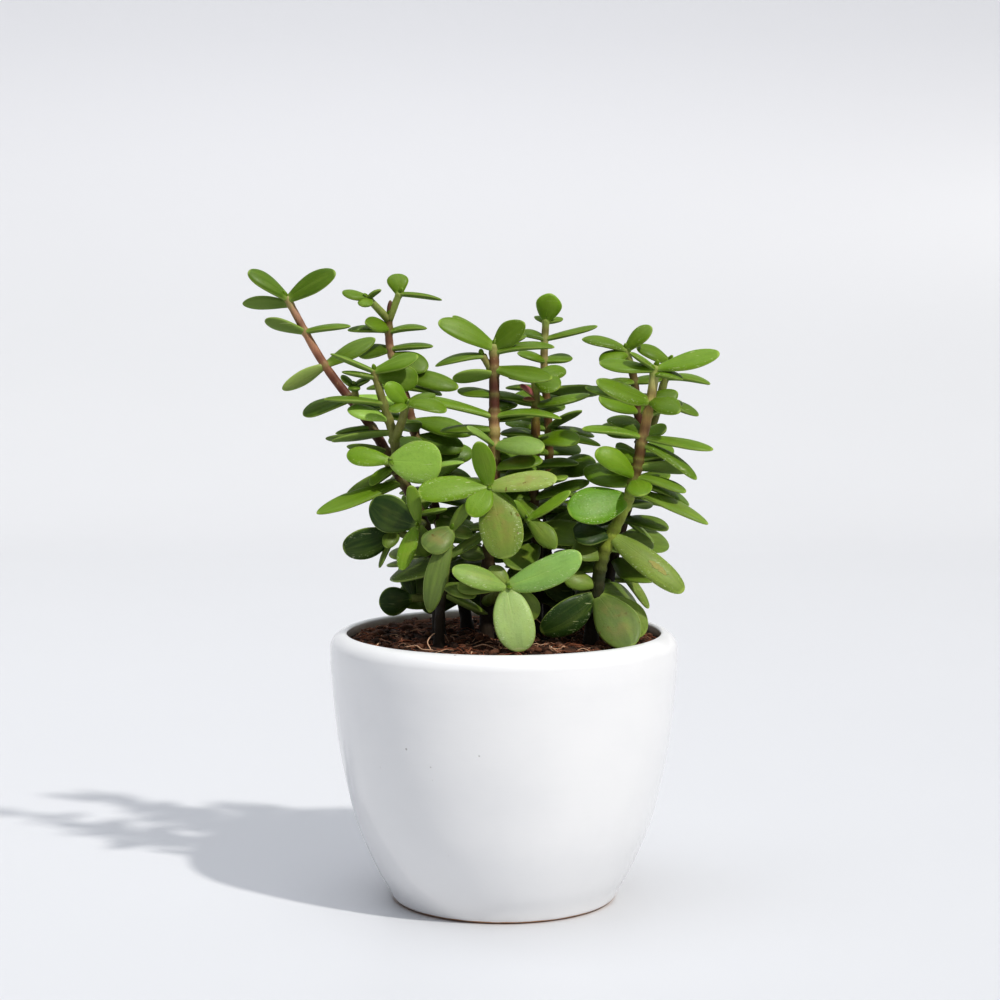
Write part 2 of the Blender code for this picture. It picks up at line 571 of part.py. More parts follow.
def stems(pot_object, soil_object):
    """Tubes first, then listed leaves, then the rule's leaves, each bent clear of what is there."""
    lines = {name: [smooth_route(shoot.route) for shoot in shoots] for name, shoots in STEMS.items()}
    tubes = {}
    for name, shoots in STEMS.items():
        tubes[name] = [tube(name if index == 0 else "shoot", line, shoot.radii, STEM_SIDES)
                       for index, (shoot, line) in enumerate(zip(shoots, lines[name]))]
    solids = [Solid("pot", pot_object), Solid("soil", soil_object)]
    solids += [Solid(name, made) for name in STEMS for made in tubes[name]]
    leaves = []
    draw = random.Random(RULE_SEED)
    for name, shoots in STEMS.items():
        for shoot, line in zip(shoots, lines[name]):
            grow(name, line, [Leaf(*row) for row in shoot.leaves], draw, solids, leaves)
    for name in STEMS:
        line = lines[name][0]
        grow(name, line, rule_leaves(line, draw, name in ALL_ROUND), draw, solids, leaves)
    green = material("jade_green", (0.16, 0.3, 0.06), 0.4)
    for name in STEMS:
        grown(tubes[name][0], tubes[name][1:], [item for item in leaves if item.node == name], green)


def drill_soil(soil_object):
    """Plain holes that the feet of the stems stand in."""
    holes = bpy.data.collections.new("holes")
    for name, shoots in STEMS.items():
        whole_line = smooth_route(shoots[0].route)
        line = whole_line[:ROUTE_STEPS + 2]
        foot = line[0] + (line[0] - line[1]).normalized() * GAP
        radii = (shoots[0].radii[0], between(shoots[0].radii, (len(line) - 1) / (len(whole_line) - 1)))
        hole = tube("hole", [foot, *line[1:]], radii, STEM_SIDES, HOLE_GAP)
        bpy.context.scene.collection.objects.unlink(hole)
        holes.objects.link(hole)
    cut = soil_object.modifiers.new("holes", "BOOLEAN")
    cut.operation = "DIFFERENCE"
    cut.operand_type = "COLLECTION"
    cut.collection = holes
    apply_modifiers(soil_object)
    for hole in list(holes.objects):
        bpy.data.objects.remove(hole, do_unlink=True)
    bpy.data.collections.remove(holes)


def build():
    clear_scene()
    pot_object = pot()
    soil_object = soil()
    stems(pot_object, soil_object)
    drill_soil(soil_object)


build()
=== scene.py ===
import math
import random
from collections import namedtuple

import bmesh
import bpy
from mathutils import Matrix, Vector, noise
from mathutils.bvhtree import BVHTree


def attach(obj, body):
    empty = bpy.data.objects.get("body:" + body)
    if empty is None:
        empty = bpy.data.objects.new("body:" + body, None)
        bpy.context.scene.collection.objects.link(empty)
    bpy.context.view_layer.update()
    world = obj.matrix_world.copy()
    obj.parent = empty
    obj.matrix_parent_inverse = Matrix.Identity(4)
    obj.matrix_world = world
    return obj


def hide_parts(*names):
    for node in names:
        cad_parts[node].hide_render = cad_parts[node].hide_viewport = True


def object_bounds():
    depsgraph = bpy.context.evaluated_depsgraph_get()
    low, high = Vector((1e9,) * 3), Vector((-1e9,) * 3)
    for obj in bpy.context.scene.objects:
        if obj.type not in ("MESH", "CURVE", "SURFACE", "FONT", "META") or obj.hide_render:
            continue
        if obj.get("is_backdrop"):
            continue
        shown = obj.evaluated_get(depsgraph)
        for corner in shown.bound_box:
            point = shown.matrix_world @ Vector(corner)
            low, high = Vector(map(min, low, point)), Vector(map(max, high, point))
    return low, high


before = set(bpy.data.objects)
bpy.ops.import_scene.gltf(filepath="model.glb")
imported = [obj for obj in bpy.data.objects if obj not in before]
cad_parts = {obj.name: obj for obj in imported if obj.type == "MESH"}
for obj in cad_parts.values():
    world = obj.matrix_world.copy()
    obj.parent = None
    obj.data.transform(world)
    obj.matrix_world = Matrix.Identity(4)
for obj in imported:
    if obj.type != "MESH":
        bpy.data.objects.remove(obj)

cad_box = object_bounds()

# The view
# A long lens stands 0.7 m in front of the plant, level with its top leaves, and looks a little down on the
# pot. Every size in this script is in millimetres.
MM = 0.001
CAMERA_PLACE = (-1.2, -700.0, 189.3)
CAMERA_DOWN = 5.06
CAMERA_NEAR = 10.0
LENS = 79.8


def placed_in_scene(name, data):
    """A new object in the scene for a camera, a light or a mesh."""
    made = bpy.data.objects.new(name, data)
    bpy.context.scene.collection.objects.link(made)
    return made


camera = placed_in_scene("camera", bpy.data.cameras.new("camera"))
camera.location = Vector(CAMERA_PLACE) * MM
camera.rotation_euler = (math.radians(90 - CAMERA_DOWN), 0, 0)
camera.data.lens = LENS
camera.data.clip_start = CAMERA_NEAR * MM
bpy.context.scene.camera = camera
bpy.context.scene.view_settings.view_transform = "Standard"
bpy.context.scene.view_settings.look = "Medium High Contrast"


# The table and the light
# A pale matt table top runs up into a pale wall far behind. The sun stands to the right and in front, in a
# bright room with a soft panel of light overhead.
FLOOR_COLOUR = (0.655, 0.665, 0.685)
WALL_COLOUR = (0.735, 0.74, 0.765)
WALL_BLEND = (100.0, 430.0)
FLOOR_ROUGHNESS = 0.45
FLOOR_PATCH = 180.0
FLOOR_PATCH_SHARE = 0.2
FLOOR_HALF = 2400.0
WALL_BACK = 1500.0
WALL_CURVE = 500.0
WALL_HEIGHT = 2400.0
CURVE_STEPS = 16
SUN_COLOUR = (1.0, 0.97, 0.92)
SUN_RIGHT = 46.0
SUN_UP = 48.0
SUN_STRENGTH = 2.05
SUN_WIDTH = 2.5
ROOM_COLOUR = (0.91, 0.94, 1.0)
ROOM_STRENGTH = 0.34
PANEL_PLACE = (-250.0, -100.0, 1500.0)
PANEL_SIDE = 1200.0
PANEL_POWER = 8.0


def mesh_piece(name, points, faces):
    """An object from points in millimetres."""
    mesh = bpy.data.meshes.new(name)
    mesh.from_pydata([Vector(point) * MM for point in points], [], faces)
    mesh.shade_smooth()
    return placed_in_scene(name, mesh)


class Wire:
    """One output of a material's nodes. An expression on wires and numbers adds the Math nodes for it."""

    def __init__(self, finish, socket):
        self.finish = finish
        self.socket = socket

    def maths(self, operation, *others):
        values = dict(enumerate((self, *others)))
        return self.finish.add("ShaderNodeMath", {"operation": operation}, values)

    def __add__(self, other):
        return self.maths("ADD", other)

    __radd__ = __add__

    def __mul__(self, other):
        return self.maths("MULTIPLY", other)

    __rmul__ = __mul__

    def __sub__(self, other):
        return self.maths("SUBTRACT", other)

    def __rsub__(self, other):
        return self.finish.add("ShaderNodeMath", {"operation": "SUBTRACT"}, {0: other, 1: self})

    def __truediv__(self, other):
        return self.maths("DIVIDE", other)

    def __abs__(self):
        return self.maths("ABSOLUTE")

    def rise(self, low, high):
        """0 below low and 1 above high, or the other way round if low is the larger."""
        values = {"Value": self, "From Min": low, "From Max": high}
        return self.finish.add("ShaderNodeMapRange", {"interpolation_type": "SMOOTHSTEP"}, values)


class Finish:
    """A material in the making, with the few ways of adding to it that the pieces need."""

    def __init__(self, name, constants):
        self.material = bpy.data.materials.new(name)
        self.material.use_nodes = True
        self.nodes = self.material.node_tree.nodes
        self.links = self.material.node_tree.links
        self.shader = self.nodes["Principled BSDF"]
        for socket, value in constants.items():
            self.shader.inputs[socket].default_value = value

    def add(self, kind, settings=None, values=None, output=0):
        """A node of a kind, with its settings first, then the values or wires of its sockets."""
        node = self.nodes.new(kind)
        for setting, value in (settings or {}).items():
            setattr(node, setting, value)
        for socket, value in (values or {}).items():
            self.join(value, node.inputs[socket])
        return Wire(self, node.outputs[output])

    def join(self, value, socket):
        if isinstance(value, Wire):
            self.links.new(value.socket, socket)
        else:
            socket.default_value = (*value, 1.0) if socket.type == "RGBA" else value

    def feed(self, socket, value):
        self.join(value, self.shader.inputs[socket])

    def vectors(self, operation, first, second):
        return self.add("ShaderNodeVectorMath", {"operation": operation}, {0: first, 1: second})

    def place(self, stretch=(1, 1, 1)):
        """The place on the piece in millimetres."""
        spot = self.add("ShaderNodeTexCoord", output="Object")
        return self.vectors("MULTIPLY", spot, tuple(share / MM for share in stretch))

    def axis(self, place, name):
        return self.add("ShaderNodeSeparateXYZ", None, {"Vector": place}, name)

    def at_points(self, name, output=0):
        """What the mesh holds under a name at each point."""
        return self.add("ShaderNodeAttribute", {"attribute_name": name}, None, output)

    def mottle(self, place, size, detail=3.0, roughness=0.5):
        """Cloudy noise between 0 and 1, with patches of a size in millimetres."""
        values = {"Vector": place, "Scale": 1 / size, "Detail": detail, "Roughness": roughness}
        return self.add("ShaderNodeTexNoise", None, values)

    def cells(self, place, size, output="Distance"):
        """Scattered spots about a size in millimetres apart: the distance to the nearest, or its colour."""
        return self.add("ShaderNodeTexVoronoi", None, {"Vector": place, "Scale": 1 / size}, output)

    def mix(self, share, first, second):
        """A colour between two colours."""
        return self.add("ShaderNodeMix", {"data_type": "RGBA"}, {0: share, 6: first, 7: second}, 2)

    def relief(self, height, depth):
        """A bump whose height of 1 stands for a depth in millimetres."""
        self.feed("Normal", self.add("ShaderNodeBump", None, {"Height": height, "Distance": depth * MM}))


floor_line = [(-FLOOR_HALF, 0.0)]
for step in range(CURVE_STEPS + 1):
    angle = math.radians(90 * step / CURVE_STEPS)
    floor_line.append((WALL_BACK - WALL_CURVE * (1 - math.sin(angle)), WALL_CURVE * (1 - math.cos(angle))))
floor_line.append((WALL_BACK, WALL_HEIGHT))
floor_points = [(side, back, height) for back, height in floor_line for side in (-FLOOR_HALF, FLOOR_HALF)]
floor_faces = [(2 * row, 2 * row + 1, 2 * row + 3, 2 * row + 2) for row in range(len(floor_line) - 1)]
table = mesh_piece("table_top", floor_points, floor_faces)
pale = Finish("pale_table", {"Roughness": FLOOR_ROUGHNESS})
spot = pale.place()
colour = pale.mix(pale.axis(spot, "Z").rise(*WALL_BLEND), FLOOR_COLOUR, WALL_COLOUR)
colour = pale.mix(pale.mottle(spot, FLOOR_PATCH) * FLOOR_PATCH_SHARE, colour, WALL_COLOUR)
pale.feed("Base Color", colour)
table.data.materials.append(pale.material)
table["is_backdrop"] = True

sun = placed_in_scene("sun", bpy.data.lights.new("sun", "SUN"))
sun.data.energy = SUN_STRENGTH
sun.data.angle = math.radians(SUN_WIDTH)
sun.data.color = SUN_COLOUR
sun.rotation_euler = (math.radians(90 - SUN_UP), 0, math.radians(SUN_RIGHT))

panel = placed_in_scene("panel", bpy.data.lights.new("panel", "AREA"))
panel.data.energy = PANEL_POWER
panel.data.size = PANEL_SIDE * MM
panel.data.color = ROOM_COLOUR
panel.location = Vector(PANEL_PLACE) * MM

room = bpy.data.worlds.new("bright_room")
room.use_nodes = True
room.node_tree.nodes["Background"].inputs["Color"].default_value = (*ROOM_COLOUR, 1.0)
room.node_tree.nodes["Background"].inputs["Strength"].default_value = ROOM_STRENGTH
bpy.context.scene.world = room


# The pot
# One slip-cast pot with a soft round lip, dipped in a thick white glaze that is fired glossy, with a few
# pinholes. The foot is wiped clean before firing, so that a thin ring of bare clay shows where it stands.
POT_HEIGHT = 85.7
POT_FOOT_RADIUS = 33.1
POT_INNER_RIM_RADIUS = 49.8
POT_WALL = 5.0
POT_FLOOR = 7.0
POT_FLOOR_ROUND = 2.0
POT_SIDES = 160
POT_OUTSIDE = ((36.0, 1.1), (37.6, 4.4), (41.2, 10.9), (46.8, 24.1), (50.2, 37.1), (52.7, 50.2), (54.2, 63.2),
               (55.2, 76.0))
POT_CURVE_STEPS = 6
POT_SHARP = 50
LIP_RADIUS = 5.0
LIP_TURN = (6, 86)
LIP_STEPS = 14
LIP_INNER_RADIUS = 0.9
LIP_INNER_TURN = (90, 180)
LIP_INNER_STEPS = 6
INNER_WALL_HEIGHTS = (81.0, 76.0, 68.0, 50.2, 37.1, 24.1, 10.9)
FOOT_ROUND = ((33.1, 0.0), (34.3, 0.0), (35.0, 0.25), (35.6, 0.6))
GLAZE = (0.87, 0.87, 0.875)
GLAZE_SHADE = (0.80, 0.805, 0.82)
GLAZE_EDGE = (1.1, 0.85)
GLAZE_RELIEF = 0.25
PINHOLE = (0.22, 0.18, 0.15)
PINHOLE_SPACING = 7.0
PINHOLE_PICK = (0.60, 0.70)
PINHOLE_EDGE = (0.072, 0.030)
CLAY = (0.50, 0.27, 0.14)
SOIL_STAIN = (0.40, 0.31, 0.25)
STAIN_HEIGHTS = (86.2, 83.6)
INSIDE_RADII = (50.6, 49.9)
INSIDE_HEIGHTS = (80.0, 81.0)


def smooth_route(points, steps):
    """A smooth line through all the points of a route."""
    route = [Vector(point) for point in points]
    route = [2 * route[0] - route[1], *route, 2 * route[-1] - route[-2]]
    line = []
    for before, start, end, after in zip(route[:-3], route[1:-2], route[2:-1], route[3:]):
        for step in range(steps):
            share = step / steps
            line.append(0.5 * (2 * start + (end - before) * share
                               + (2 * before - 5 * start + 4 * end - after) * share ** 2
                               + (3 * start - before - 3 * end + after) * share ** 3))
    line.append(route[-2])
    return line


def lip_arc(radius, middle_radius, turn, steps):
    """Points (radius, height) on an arc of the lip that ends level with its top, both ends included."""
    points = []
    for step in range(steps + 1):
        angle = math.radians(turn[0] + (turn[1] - turn[0]) * step / steps)
        height = POT_HEIGHT - radius + radius * math.sin(angle)
        points.append((middle_radius + radius * math.cos(angle), height))
    return points


def ring_faces(rings, sides, first=0):
    """Quads between rings of points, each ring counter-clockwise seen from the end that it faces."""
    faces = []
    for ring in range(rings - 1):
        for side in range(sides):
            here = first + ring * sides + side
            beside = first + ring * sides + (side + 1) % sides
            faces.append((here, beside, beside + sides, here + sides))
    return faces


def turned(name, profile, sides):
    """A closed piece turned round Z from a profile that starts and ends on the axis."""
    points = [(0, 0, profile[0][1])]
    for radius, height in profile[1:-1]:
        for side in range(sides):
            angle = 2 * math.pi * side / sides
            points.append((radius * math.cos(angle), radius * math.sin(angle), height))
    points.append((0, 0, profile[-1][1]))
    last = len(points) - 1
    faces = ring_faces(len(profile) - 2, sides, 1)
    for side in range(sides):
        beside = (side + 1) % sides
        faces.append((0, 1 + beside, 1 + side))
        faces.append((last, last - sides + side, last - sides + beside))
    return mesh_piece(name, points, faces)


def inside_radius(height):
    """Radius of the pot's inner wall at a height."""
    rim = (POT_INNER_RIM_RADIUS + POT_WALL, POT_HEIGHT)
    outside = ((POT_FOOT_RADIUS, 0.0), *POT_OUTSIDE, rim)
    for (low_radius, low), (high_radius, high) in zip(outside[:-1], outside[1:]):
        if height <= high:
            share = (height - low) / (high - low)
            return low_radius + (high_radius - low_radius) * share - POT_WALL
    return POT_INNER_RIM_RADIUS


belly = smooth_route([(radius, height, 0) for radius, height in POT_OUTSIDE], POT_CURVE_STEPS)
lip = lip_arc(LIP_RADIUS, POT_OUTSIDE[-1][0] - LIP_RADIUS, LIP_TURN, LIP_STEPS)
lip += lip_arc(LIP_INNER_RADIUS, POT_INNER_RIM_RADIUS + LIP_INNER_RADIUS, LIP_INNER_TURN, LIP_INNER_STEPS)
inner_wall = [(inside_radius(height), height) for height in INNER_WALL_HEIGHTS]
pot_profile = [(0, 0), *FOOT_ROUND, *[(point.x, point.y) for point in belly], *lip, *inner_wall]
pot_profile += [(inside_radius(POT_FLOOR) - POT_FLOOR_ROUND, POT_FLOOR), (0, POT_FLOOR)]
pot = turned("glazed_pot", pot_profile, POT_SIDES)
pot.data.set_sharp_from_angle(angle=math.radians(POT_SHARP))

glaze = Finish("white_glaze", {"Coat Roughness": 0.05})
spot = glaze.place()
height = glaze.axis(spot, "Z")
clouds = glaze.mottle(spot, 26.0)
bare = (height + 0.5 * glaze.mottle(spot, 5.0)).rise(*GLAZE_EDGE)
pick = {"Color": glaze.cells(spot, PINHOLE_SPACING, "Color")}
picked = glaze.add("ShaderNodeSeparateColor", None, pick, "Red").rise(*PINHOLE_PICK)
holes = glaze.cells(spot, PINHOLE_SPACING).rise(*PINHOLE_EDGE) * picked
flat_spot = {0: glaze.vectors("MULTIPLY", spot, (1, 1, 0))}
radial = glaze.add("ShaderNodeVectorMath", {"operation": "LENGTH"}, flat_spot, "Value")
inside = radial.rise(*INSIDE_RADII) * height.rise(*INSIDE_HEIGHTS)
stain = inside * (height + 1.4 * glaze.mottle(spot, 4.0, 5.0)).rise(*STAIN_HEIGHTS)
colour = glaze.mix(clouds.rise(0.35, 0.75) * 0.35, GLAZE, GLAZE_SHADE)
colour = glaze.mix(stain * 0.75, colour, SOIL_STAIN)
colour = glaze.mix(holes * 0.5, colour, PINHOLE)
glaze.feed("Base Color", glaze.mix(bare, colour, CLAY))
glaze.feed("Roughness", 0.30 + 0.14 * clouds + 0.4 * bare + 0.25 * stain)
glaze.feed("Coat Weight", (1 - bare) * (1 - 0.7 * stain) * 0.85)
drag = glaze.mottle(glaze.place((0.05, 0.05, 0.55)), 1.0, 2.0)
waves = glaze.mottle(spot, 9.0, 1.0)
glaze.relief(waves * 0.5 + drag * 0.12 - holes * 0.6 - bare * 0.5, GLAZE_RELIEF)
pot.data.materials.append(glaze.material)
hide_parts("pot")
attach(pot, "root")


# The soil
# Damp coco peat fills the pot to just below the lip. Its dark crumbs are matted with coir, red-brown when wet
# and straw-coloured where the ends have dried, and a few pale threads lie loose on top.
SOIL_LEVEL = 83.3
SOIL_EDGE_DROP = 0.7
SOIL_EDGE_POWER = 6
SOIL_TOP_DEPTH = 0.1
SOIL_REACH = 49.0
SOIL_SIDES = 90
SOIL_TOP_RINGS = 34
SOIL_WALL_HEIGHTS = (10.9, 24.1, 50.2, 76.0, 80.5)
GAP = 0.3
SOIL_SEED = 11
CRUMBS = 900
CRUMB_REACH = 48.2
CRUMB_SIZES = (0.5, 2.2)
CRUMB_SIZE_SPREAD = (0.5, 1.0)
CRUMB_LIFT = (0.0, 0.35)
CRUMB_STRETCH = ((0.7, 1.35), (0.7, 1.2), (0.45, 0.8))
CRUMB_TILT = (-0.6, 0.6)
CRUMB_ROUGHNESS = 0.45
CRUMB_GRAIN = 1.6
CRUMB_SHIFT = (3.1, 1.7, 0)
FIBRES = 900
FIBRE_REACH = 47.0
FIBRE_EDGE = 48.6
FIBRE_LENGTHS = (3.5, 17.0)
FIBRE_LENGTH_SPREAD = (0.4, 1.0)
FIBRE_RADII = (0.09, 0.25)
FIBRE_CURL = (-0.45, 0.45)
FIBRE_STRAY = (-0.35, 0.35)
FIBRE_HUMP = (0.0, 0.16)
FIBRE_LIFT = 0.15
FIBRE_WAVE = 9
FIBRE_STEPS = 8
FIBRE_SIDES = 4
FIBRE_END = 0.35
STRAW_RARITY = 2.2
SOIL_DARK = (0.011, 0.0065, 0.0045)
SOIL_BROWN = (0.185, 0.078, 0.040)
COIR_BROWN = (0.27, 0.092, 0.042)
COIR_STRAW = (0.66, 0.42, 0.27)
# Dried roots and straw that lie loose: the points of each
LOOSE = (((-22.3, -29, 83.9), (-23.4, -26.5, 86.0), (-21.5, -23.5, 88.0), (-18.6, -20.5, 87.4),
          (-17.0, -18, 84.4)),
         ((17.4, -8.0, 83.6), (13.6, -6.4, 87.2), (9.8, -5.0, 90.4)),
         ((-9.5, -27, 84.4), (-6.0, -29.5, 85.6), (-2.6, -29.0, 84.2), (-0.5, -31.5, 84.0)),
         ((-30.0, -26, 84.2), (-27.0, -27.5, 85.0), (-25.0, -31.0, 84.4), (-21.5, -31.5, 84.2)))
LOOSE_RADIUS = 0.22
# The heaps that stand out: right, back, rise and spread
HEAPS = ((-8.0, -13.0, 2.6, 4.6), (14.0, -24.0, 0.7, 7.0), (-26.0, -22.0, 0.7, 7.0))
# The rest of the surface: the size of its waves, a shift that makes each its own, and their rise
WAVES = ((17.0, (0, 0, 0), 0.8), (5.0, (7, 3, 1), 0.8), (1.9, (2, 9, 4), 0.45))


def soil_top(right, back):
    """Height of the loose surface: lower at the edge, with heaps, lumps and grains."""
    edge = min(1.0, math.hypot(right, back) / SOIL_REACH)
    raked = 0.0
    for x, y, rise, spread in HEAPS:
        raked += rise * math.exp(-math.hypot(right - x, back - y) ** 2 / spread ** 2)
    height = SOIL_LEVEL - SOIL_EDGE_DROP * edge ** SOIL_EDGE_POWER + raked
    for size, shift, rise in WAVES:
        height += rise * noise.noise(Vector((right, back, 0.0)) / size + Vector(shift))
    return height


def keep_at_points(made, name, kind, field, values):
    """Values at each point of a piece, which its materials read by name."""
    made.data.attributes.new(name, kind, "POINT").data.foreach_set(field, values)


soil_wall = [(inside_radius(height) - GAP, height) for height in SOIL_WALL_HEIGHTS]
soil_rim = soil_wall[-1][0]
soil_floor = inside_radius(POT_FLOOR) - POT_FLOOR_ROUND - GAP
soil_profile = [(0, POT_FLOOR + GAP), (soil_floor, POT_FLOOR + GAP), *soil_wall]
soil_profile += [(soil_rim * (1 - ring / SOIL_TOP_RINGS), SOIL_LEVEL) for ring in range(SOIL_TOP_RINGS)]
soil_profile.append((0, SOIL_LEVEL))
soil = turned("coco_soil", soil_profile, SOIL_SIDES)
for vertex in soil.data.vertices:
    if vertex.co.z > (SOIL_LEVEL - SOIL_TOP_DEPTH) * MM:
        vertex.co.z = soil_top(vertex.co.x / MM, vertex.co.y / MM) * MM

draw = random.Random(SOIL_SEED)
lump = bmesh.new()
bmesh.ops.create_icosphere(lump, subdivisions=2, radius=1.0)
lump_points = [vertex.co.copy() for vertex in lump.verts]
lump_faces = [tuple(vertex.index for vertex in face.verts) for face in lump.faces]
lump.free()
crumb_points = []
crumb_faces = []
crumb_tones = []
for crumb in range(CRUMBS):
    reach = CRUMB_REACH * math.sqrt(draw.random())
    turn = draw.uniform(0, 2 * math.pi)
    size = draw.uniform(*CRUMB_SIZES) * draw.uniform(*CRUMB_SIZE_SPREAD)
    reach = min(reach, SOIL_REACH - size)
    right, back = reach * math.cos(turn), reach * math.sin(turn)
    middle = Vector((right, back, soil_top(right, back) + size * draw.uniform(*CRUMB_LIFT)))
    stretch = Vector([draw.uniform(*ends) for ends in CRUMB_STRETCH]) * size
    spin = Matrix.Rotation(draw.uniform(0, 2 * math.pi), 3, "Z")
    spin = spin @ Matrix.Rotation(draw.uniform(*CRUMB_TILT), 3, "X")
    crumb_faces += [tuple(corner + len(crumb_points) for corner in face) for face in lump_faces]
    offset = Vector([crumb * share for share in CRUMB_SHIFT])
    for point in lump_points:
        rough = 1 + CRUMB_ROUGHNESS * noise.noise(point * CRUMB_GRAIN + offset)
        crumb_points.append(middle + spin @ (point * stretch) * rough)
    crumb_tones += [draw.random()] * len(lump_points)
crumbs = mesh_piece("soil_crumbs", crumb_points, crumb_faces)
keep_at_points(crumbs, "tone", "FLOAT", "value", crumb_tones)


def heading_at(line, index):
    """The direction of a line at one of its points."""
    return (line[min(index + 1, len(line) - 1)] - line[max(index - 1, 0)]).normalized()


def ring_round(middle, radius, sides, across, over):
    """Points round a middle, the first across from it and the next ones toward over."""
    turns = [2 * math.pi * side / sides for side in range(sides)]
    return [middle + radius * (math.cos(turn) * across + math.sin(turn) * over) for turn in turns]


def capped(rings, sides, first=0, tip=False):
    """Faces over rings of points, closed at the first ring, and at the last or over one point at the tip."""
    faces = ring_faces(rings, sides, first)
    faces.append(tuple(reversed(range(first, first + sides))))
    last = first + (rings - 1) * sides
    if tip:
        faces += [(last + side, last + (side + 1) % sides, last + sides) for side in range(sides)]
    else:
        faces.append(tuple(range(last, last + sides)))
    return faces


fibre_points = []
fibre_faces = []
fibre_tones = []


def add_fibre(line, radius, tone):
    """A thin tube along a line, closed at both ends, of a tone from red-brown at 0 to straw at 1."""
    first = len(fibre_points)
    for index, spot in enumerate(line):
        along = heading_at(line, index)
        across = along.orthogonal().normalized()
        thin = radius * (FIBRE_END if index in (0, len(line) - 1) else 1.0)
        fibre_points.extend(ring_round(spot, thin, FIBRE_SIDES, across, along.cross(across)))
    fibre_faces.extend(capped(len(line), FIBRE_SIDES, first))
    fibre_tones.extend([tone] * (len(fibre_points) - first))


for fibre in range(FIBRES):
    reach = FIBRE_REACH * math.sqrt(draw.random())
    turn = draw.uniform(0, 2 * math.pi)
    spot = Vector((reach * math.cos(turn), reach * math.sin(turn), 0))
    heading = draw.uniform(0, 2 * math.pi)
    curl = draw.uniform(*FIBRE_CURL)
    length = draw.uniform(*FIBRE_LENGTHS) * draw.uniform(*FIBRE_LENGTH_SPREAD)
    hump = draw.uniform(*FIBRE_HUMP) * length * draw.random()
    tone = draw.random() ** STRAW_RARITY
    line = []
    for step in range(FIBRE_STEPS + 1):
        share = step / FIBRE_STEPS
        if spot.xy.length > FIBRE_EDGE:
            spot.xy = spot.xy.normalized() * FIBRE_EDGE
        lift = hump * math.sin(math.pi * share) + FIBRE_LIFT * math.sin(FIBRE_WAVE * share + fibre)
        line.append(Vector((spot.x, spot.y, soil_top(spot.x, spot.y) + FIBRE_LIFT + lift)))
        heading += curl + draw.uniform(*FIBRE_STRAY)
        spot += Vector((math.cos(heading), math.sin(heading), 0)) * length / FIBRE_STEPS
    add_fibre(line, draw.uniform(*FIBRE_RADII), tone)
for route in LOOSE:
    add_fibre(smooth_route(route, FIBRE_STEPS), LOOSE_RADIUS, 1.0)
fibres = mesh_piece("coir_fibres", fibre_points, fibre_faces)
keep_at_points(fibres, "tone", "FLOAT", "value", fibre_tones)

peat = Finish("coco_peat", {"Roughness": 0.92})
spot = peat.place()
grain = peat.mottle(spot, 1.1, 6.0, 0.7)
brown = grain * 0.7 + peat.mottle(spot, 7.0) * 0.5 + peat.at_points("tone", "Fac") * 0.35
peat.feed("Base Color", peat.mix(brown.rise(0.42, 1.05), SOIL_DARK, SOIL_BROWN))
peat.relief(grain, 0.9)
coir = Finish("coir_fibre", {"Roughness": 0.75})
streaks = coir.mottle(coir.place(), 0.8)
straw = coir.at_points("tone", "Fac") * 0.9 + streaks * 0.25
coir.feed("Base Color", coir.mix(straw.rise(0.3, 1.0), COIR_BROWN, COIR_STRAW))
coir.relief(streaks, 0.15)
soil.data.materials.append(peat.material)
crumbs.data.materials.append(peat.material)
fibres.data.materials.append(coir.material)
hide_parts("soil")
for piece in (soil, crumbs, fibres):
    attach(piece, "root")


# The plant
# Eight stems of one small-leaved jade plant stand in the soil. Each turns woody and maroon with age, and has
# a swollen ring at each joint, with a pair of thick waxy leaves that is crossed with the last.
STEM_SIDES = 5
STEM_FOOT = 58.0
ROUTE_STEPS = 2
MOSTLY_BACK = 0.9
LEAF_KEEL = 1.5
LEAF_KEEL_ENDS = 0.8
LEAF_RIM = 0.45
LEAF_CORNERS = 3
LEAF_ROOT_WIDTH = 1.6
LEAF_WIDEST = 0.62
LEAF_SWELL = 1.15
LEAF_SUNK = 0.4
LEAF_STATIONS = (0.0, 0.2, 0.46, 0.74, 0.93)
LEAF_ARCH = (0.0, 0.09)
LEAF_CLEARANCE = 0.45
BEND_YAWS = (0, 7, -7, 14, -14, 21, -21, 30, -30, 40, -40)
BEND_PITCHES = (0, 6, -6, 12, -12, 18, -18, 26, -26)
PITCH_COST = 1.3
BENDS = sorted(((yaw, pitch) for yaw in BEND_YAWS for pitch in BEND_PITCHES),
               key=lambda bend: abs(bend[0]) + PITCH_COST * abs(bend[1]))
SHORTER = (1.0, 0.82)
SAME_BUD = 3.0
RULE_START = 101.0
RULE_STOP = 162.0
RULE_BELOW_TIP = 10.0
RULE_SPACING = (6.0, 8.2)
RULE_SPACING_SPREAD = (0.9, 1.1)
RULE_LENGTH = (21.0, 13.0)
RULE_LENGTH_SPREAD = (0.85, 1.12)
RULE_LIFT = (-14.0, 22.0)
RULE_LIFT_SPREAD = (-12.0, 12.0)
RULE_FIRST_TURN = 45
RULE_TURN_SPREAD = (-20, 20)
RULE_WIDTH = 0.55
RULE_FACE_SPREAD = (0.0, 50.0)
RULE_SEED = 7
ALL_ROUND = ("back_left_stem", "centre_stem", "back_stem", "far_right_stem")

# A shoot has the radii of its foot and tip, the points that it passes through, and its chosen leaves.
# A leaf has the height that it grows at, how far it reaches right, back and up, its width, and the angle
# that its upper face is turned to the front by. Its form is where that puts it, with its arch.
Shoot = namedtuple("Shoot", "radii route leaves")
Leaf = namedtuple("Leaf", "height right back up width face")
Form = namedtuple("Form", "base reach width face arch")
TIP = -1

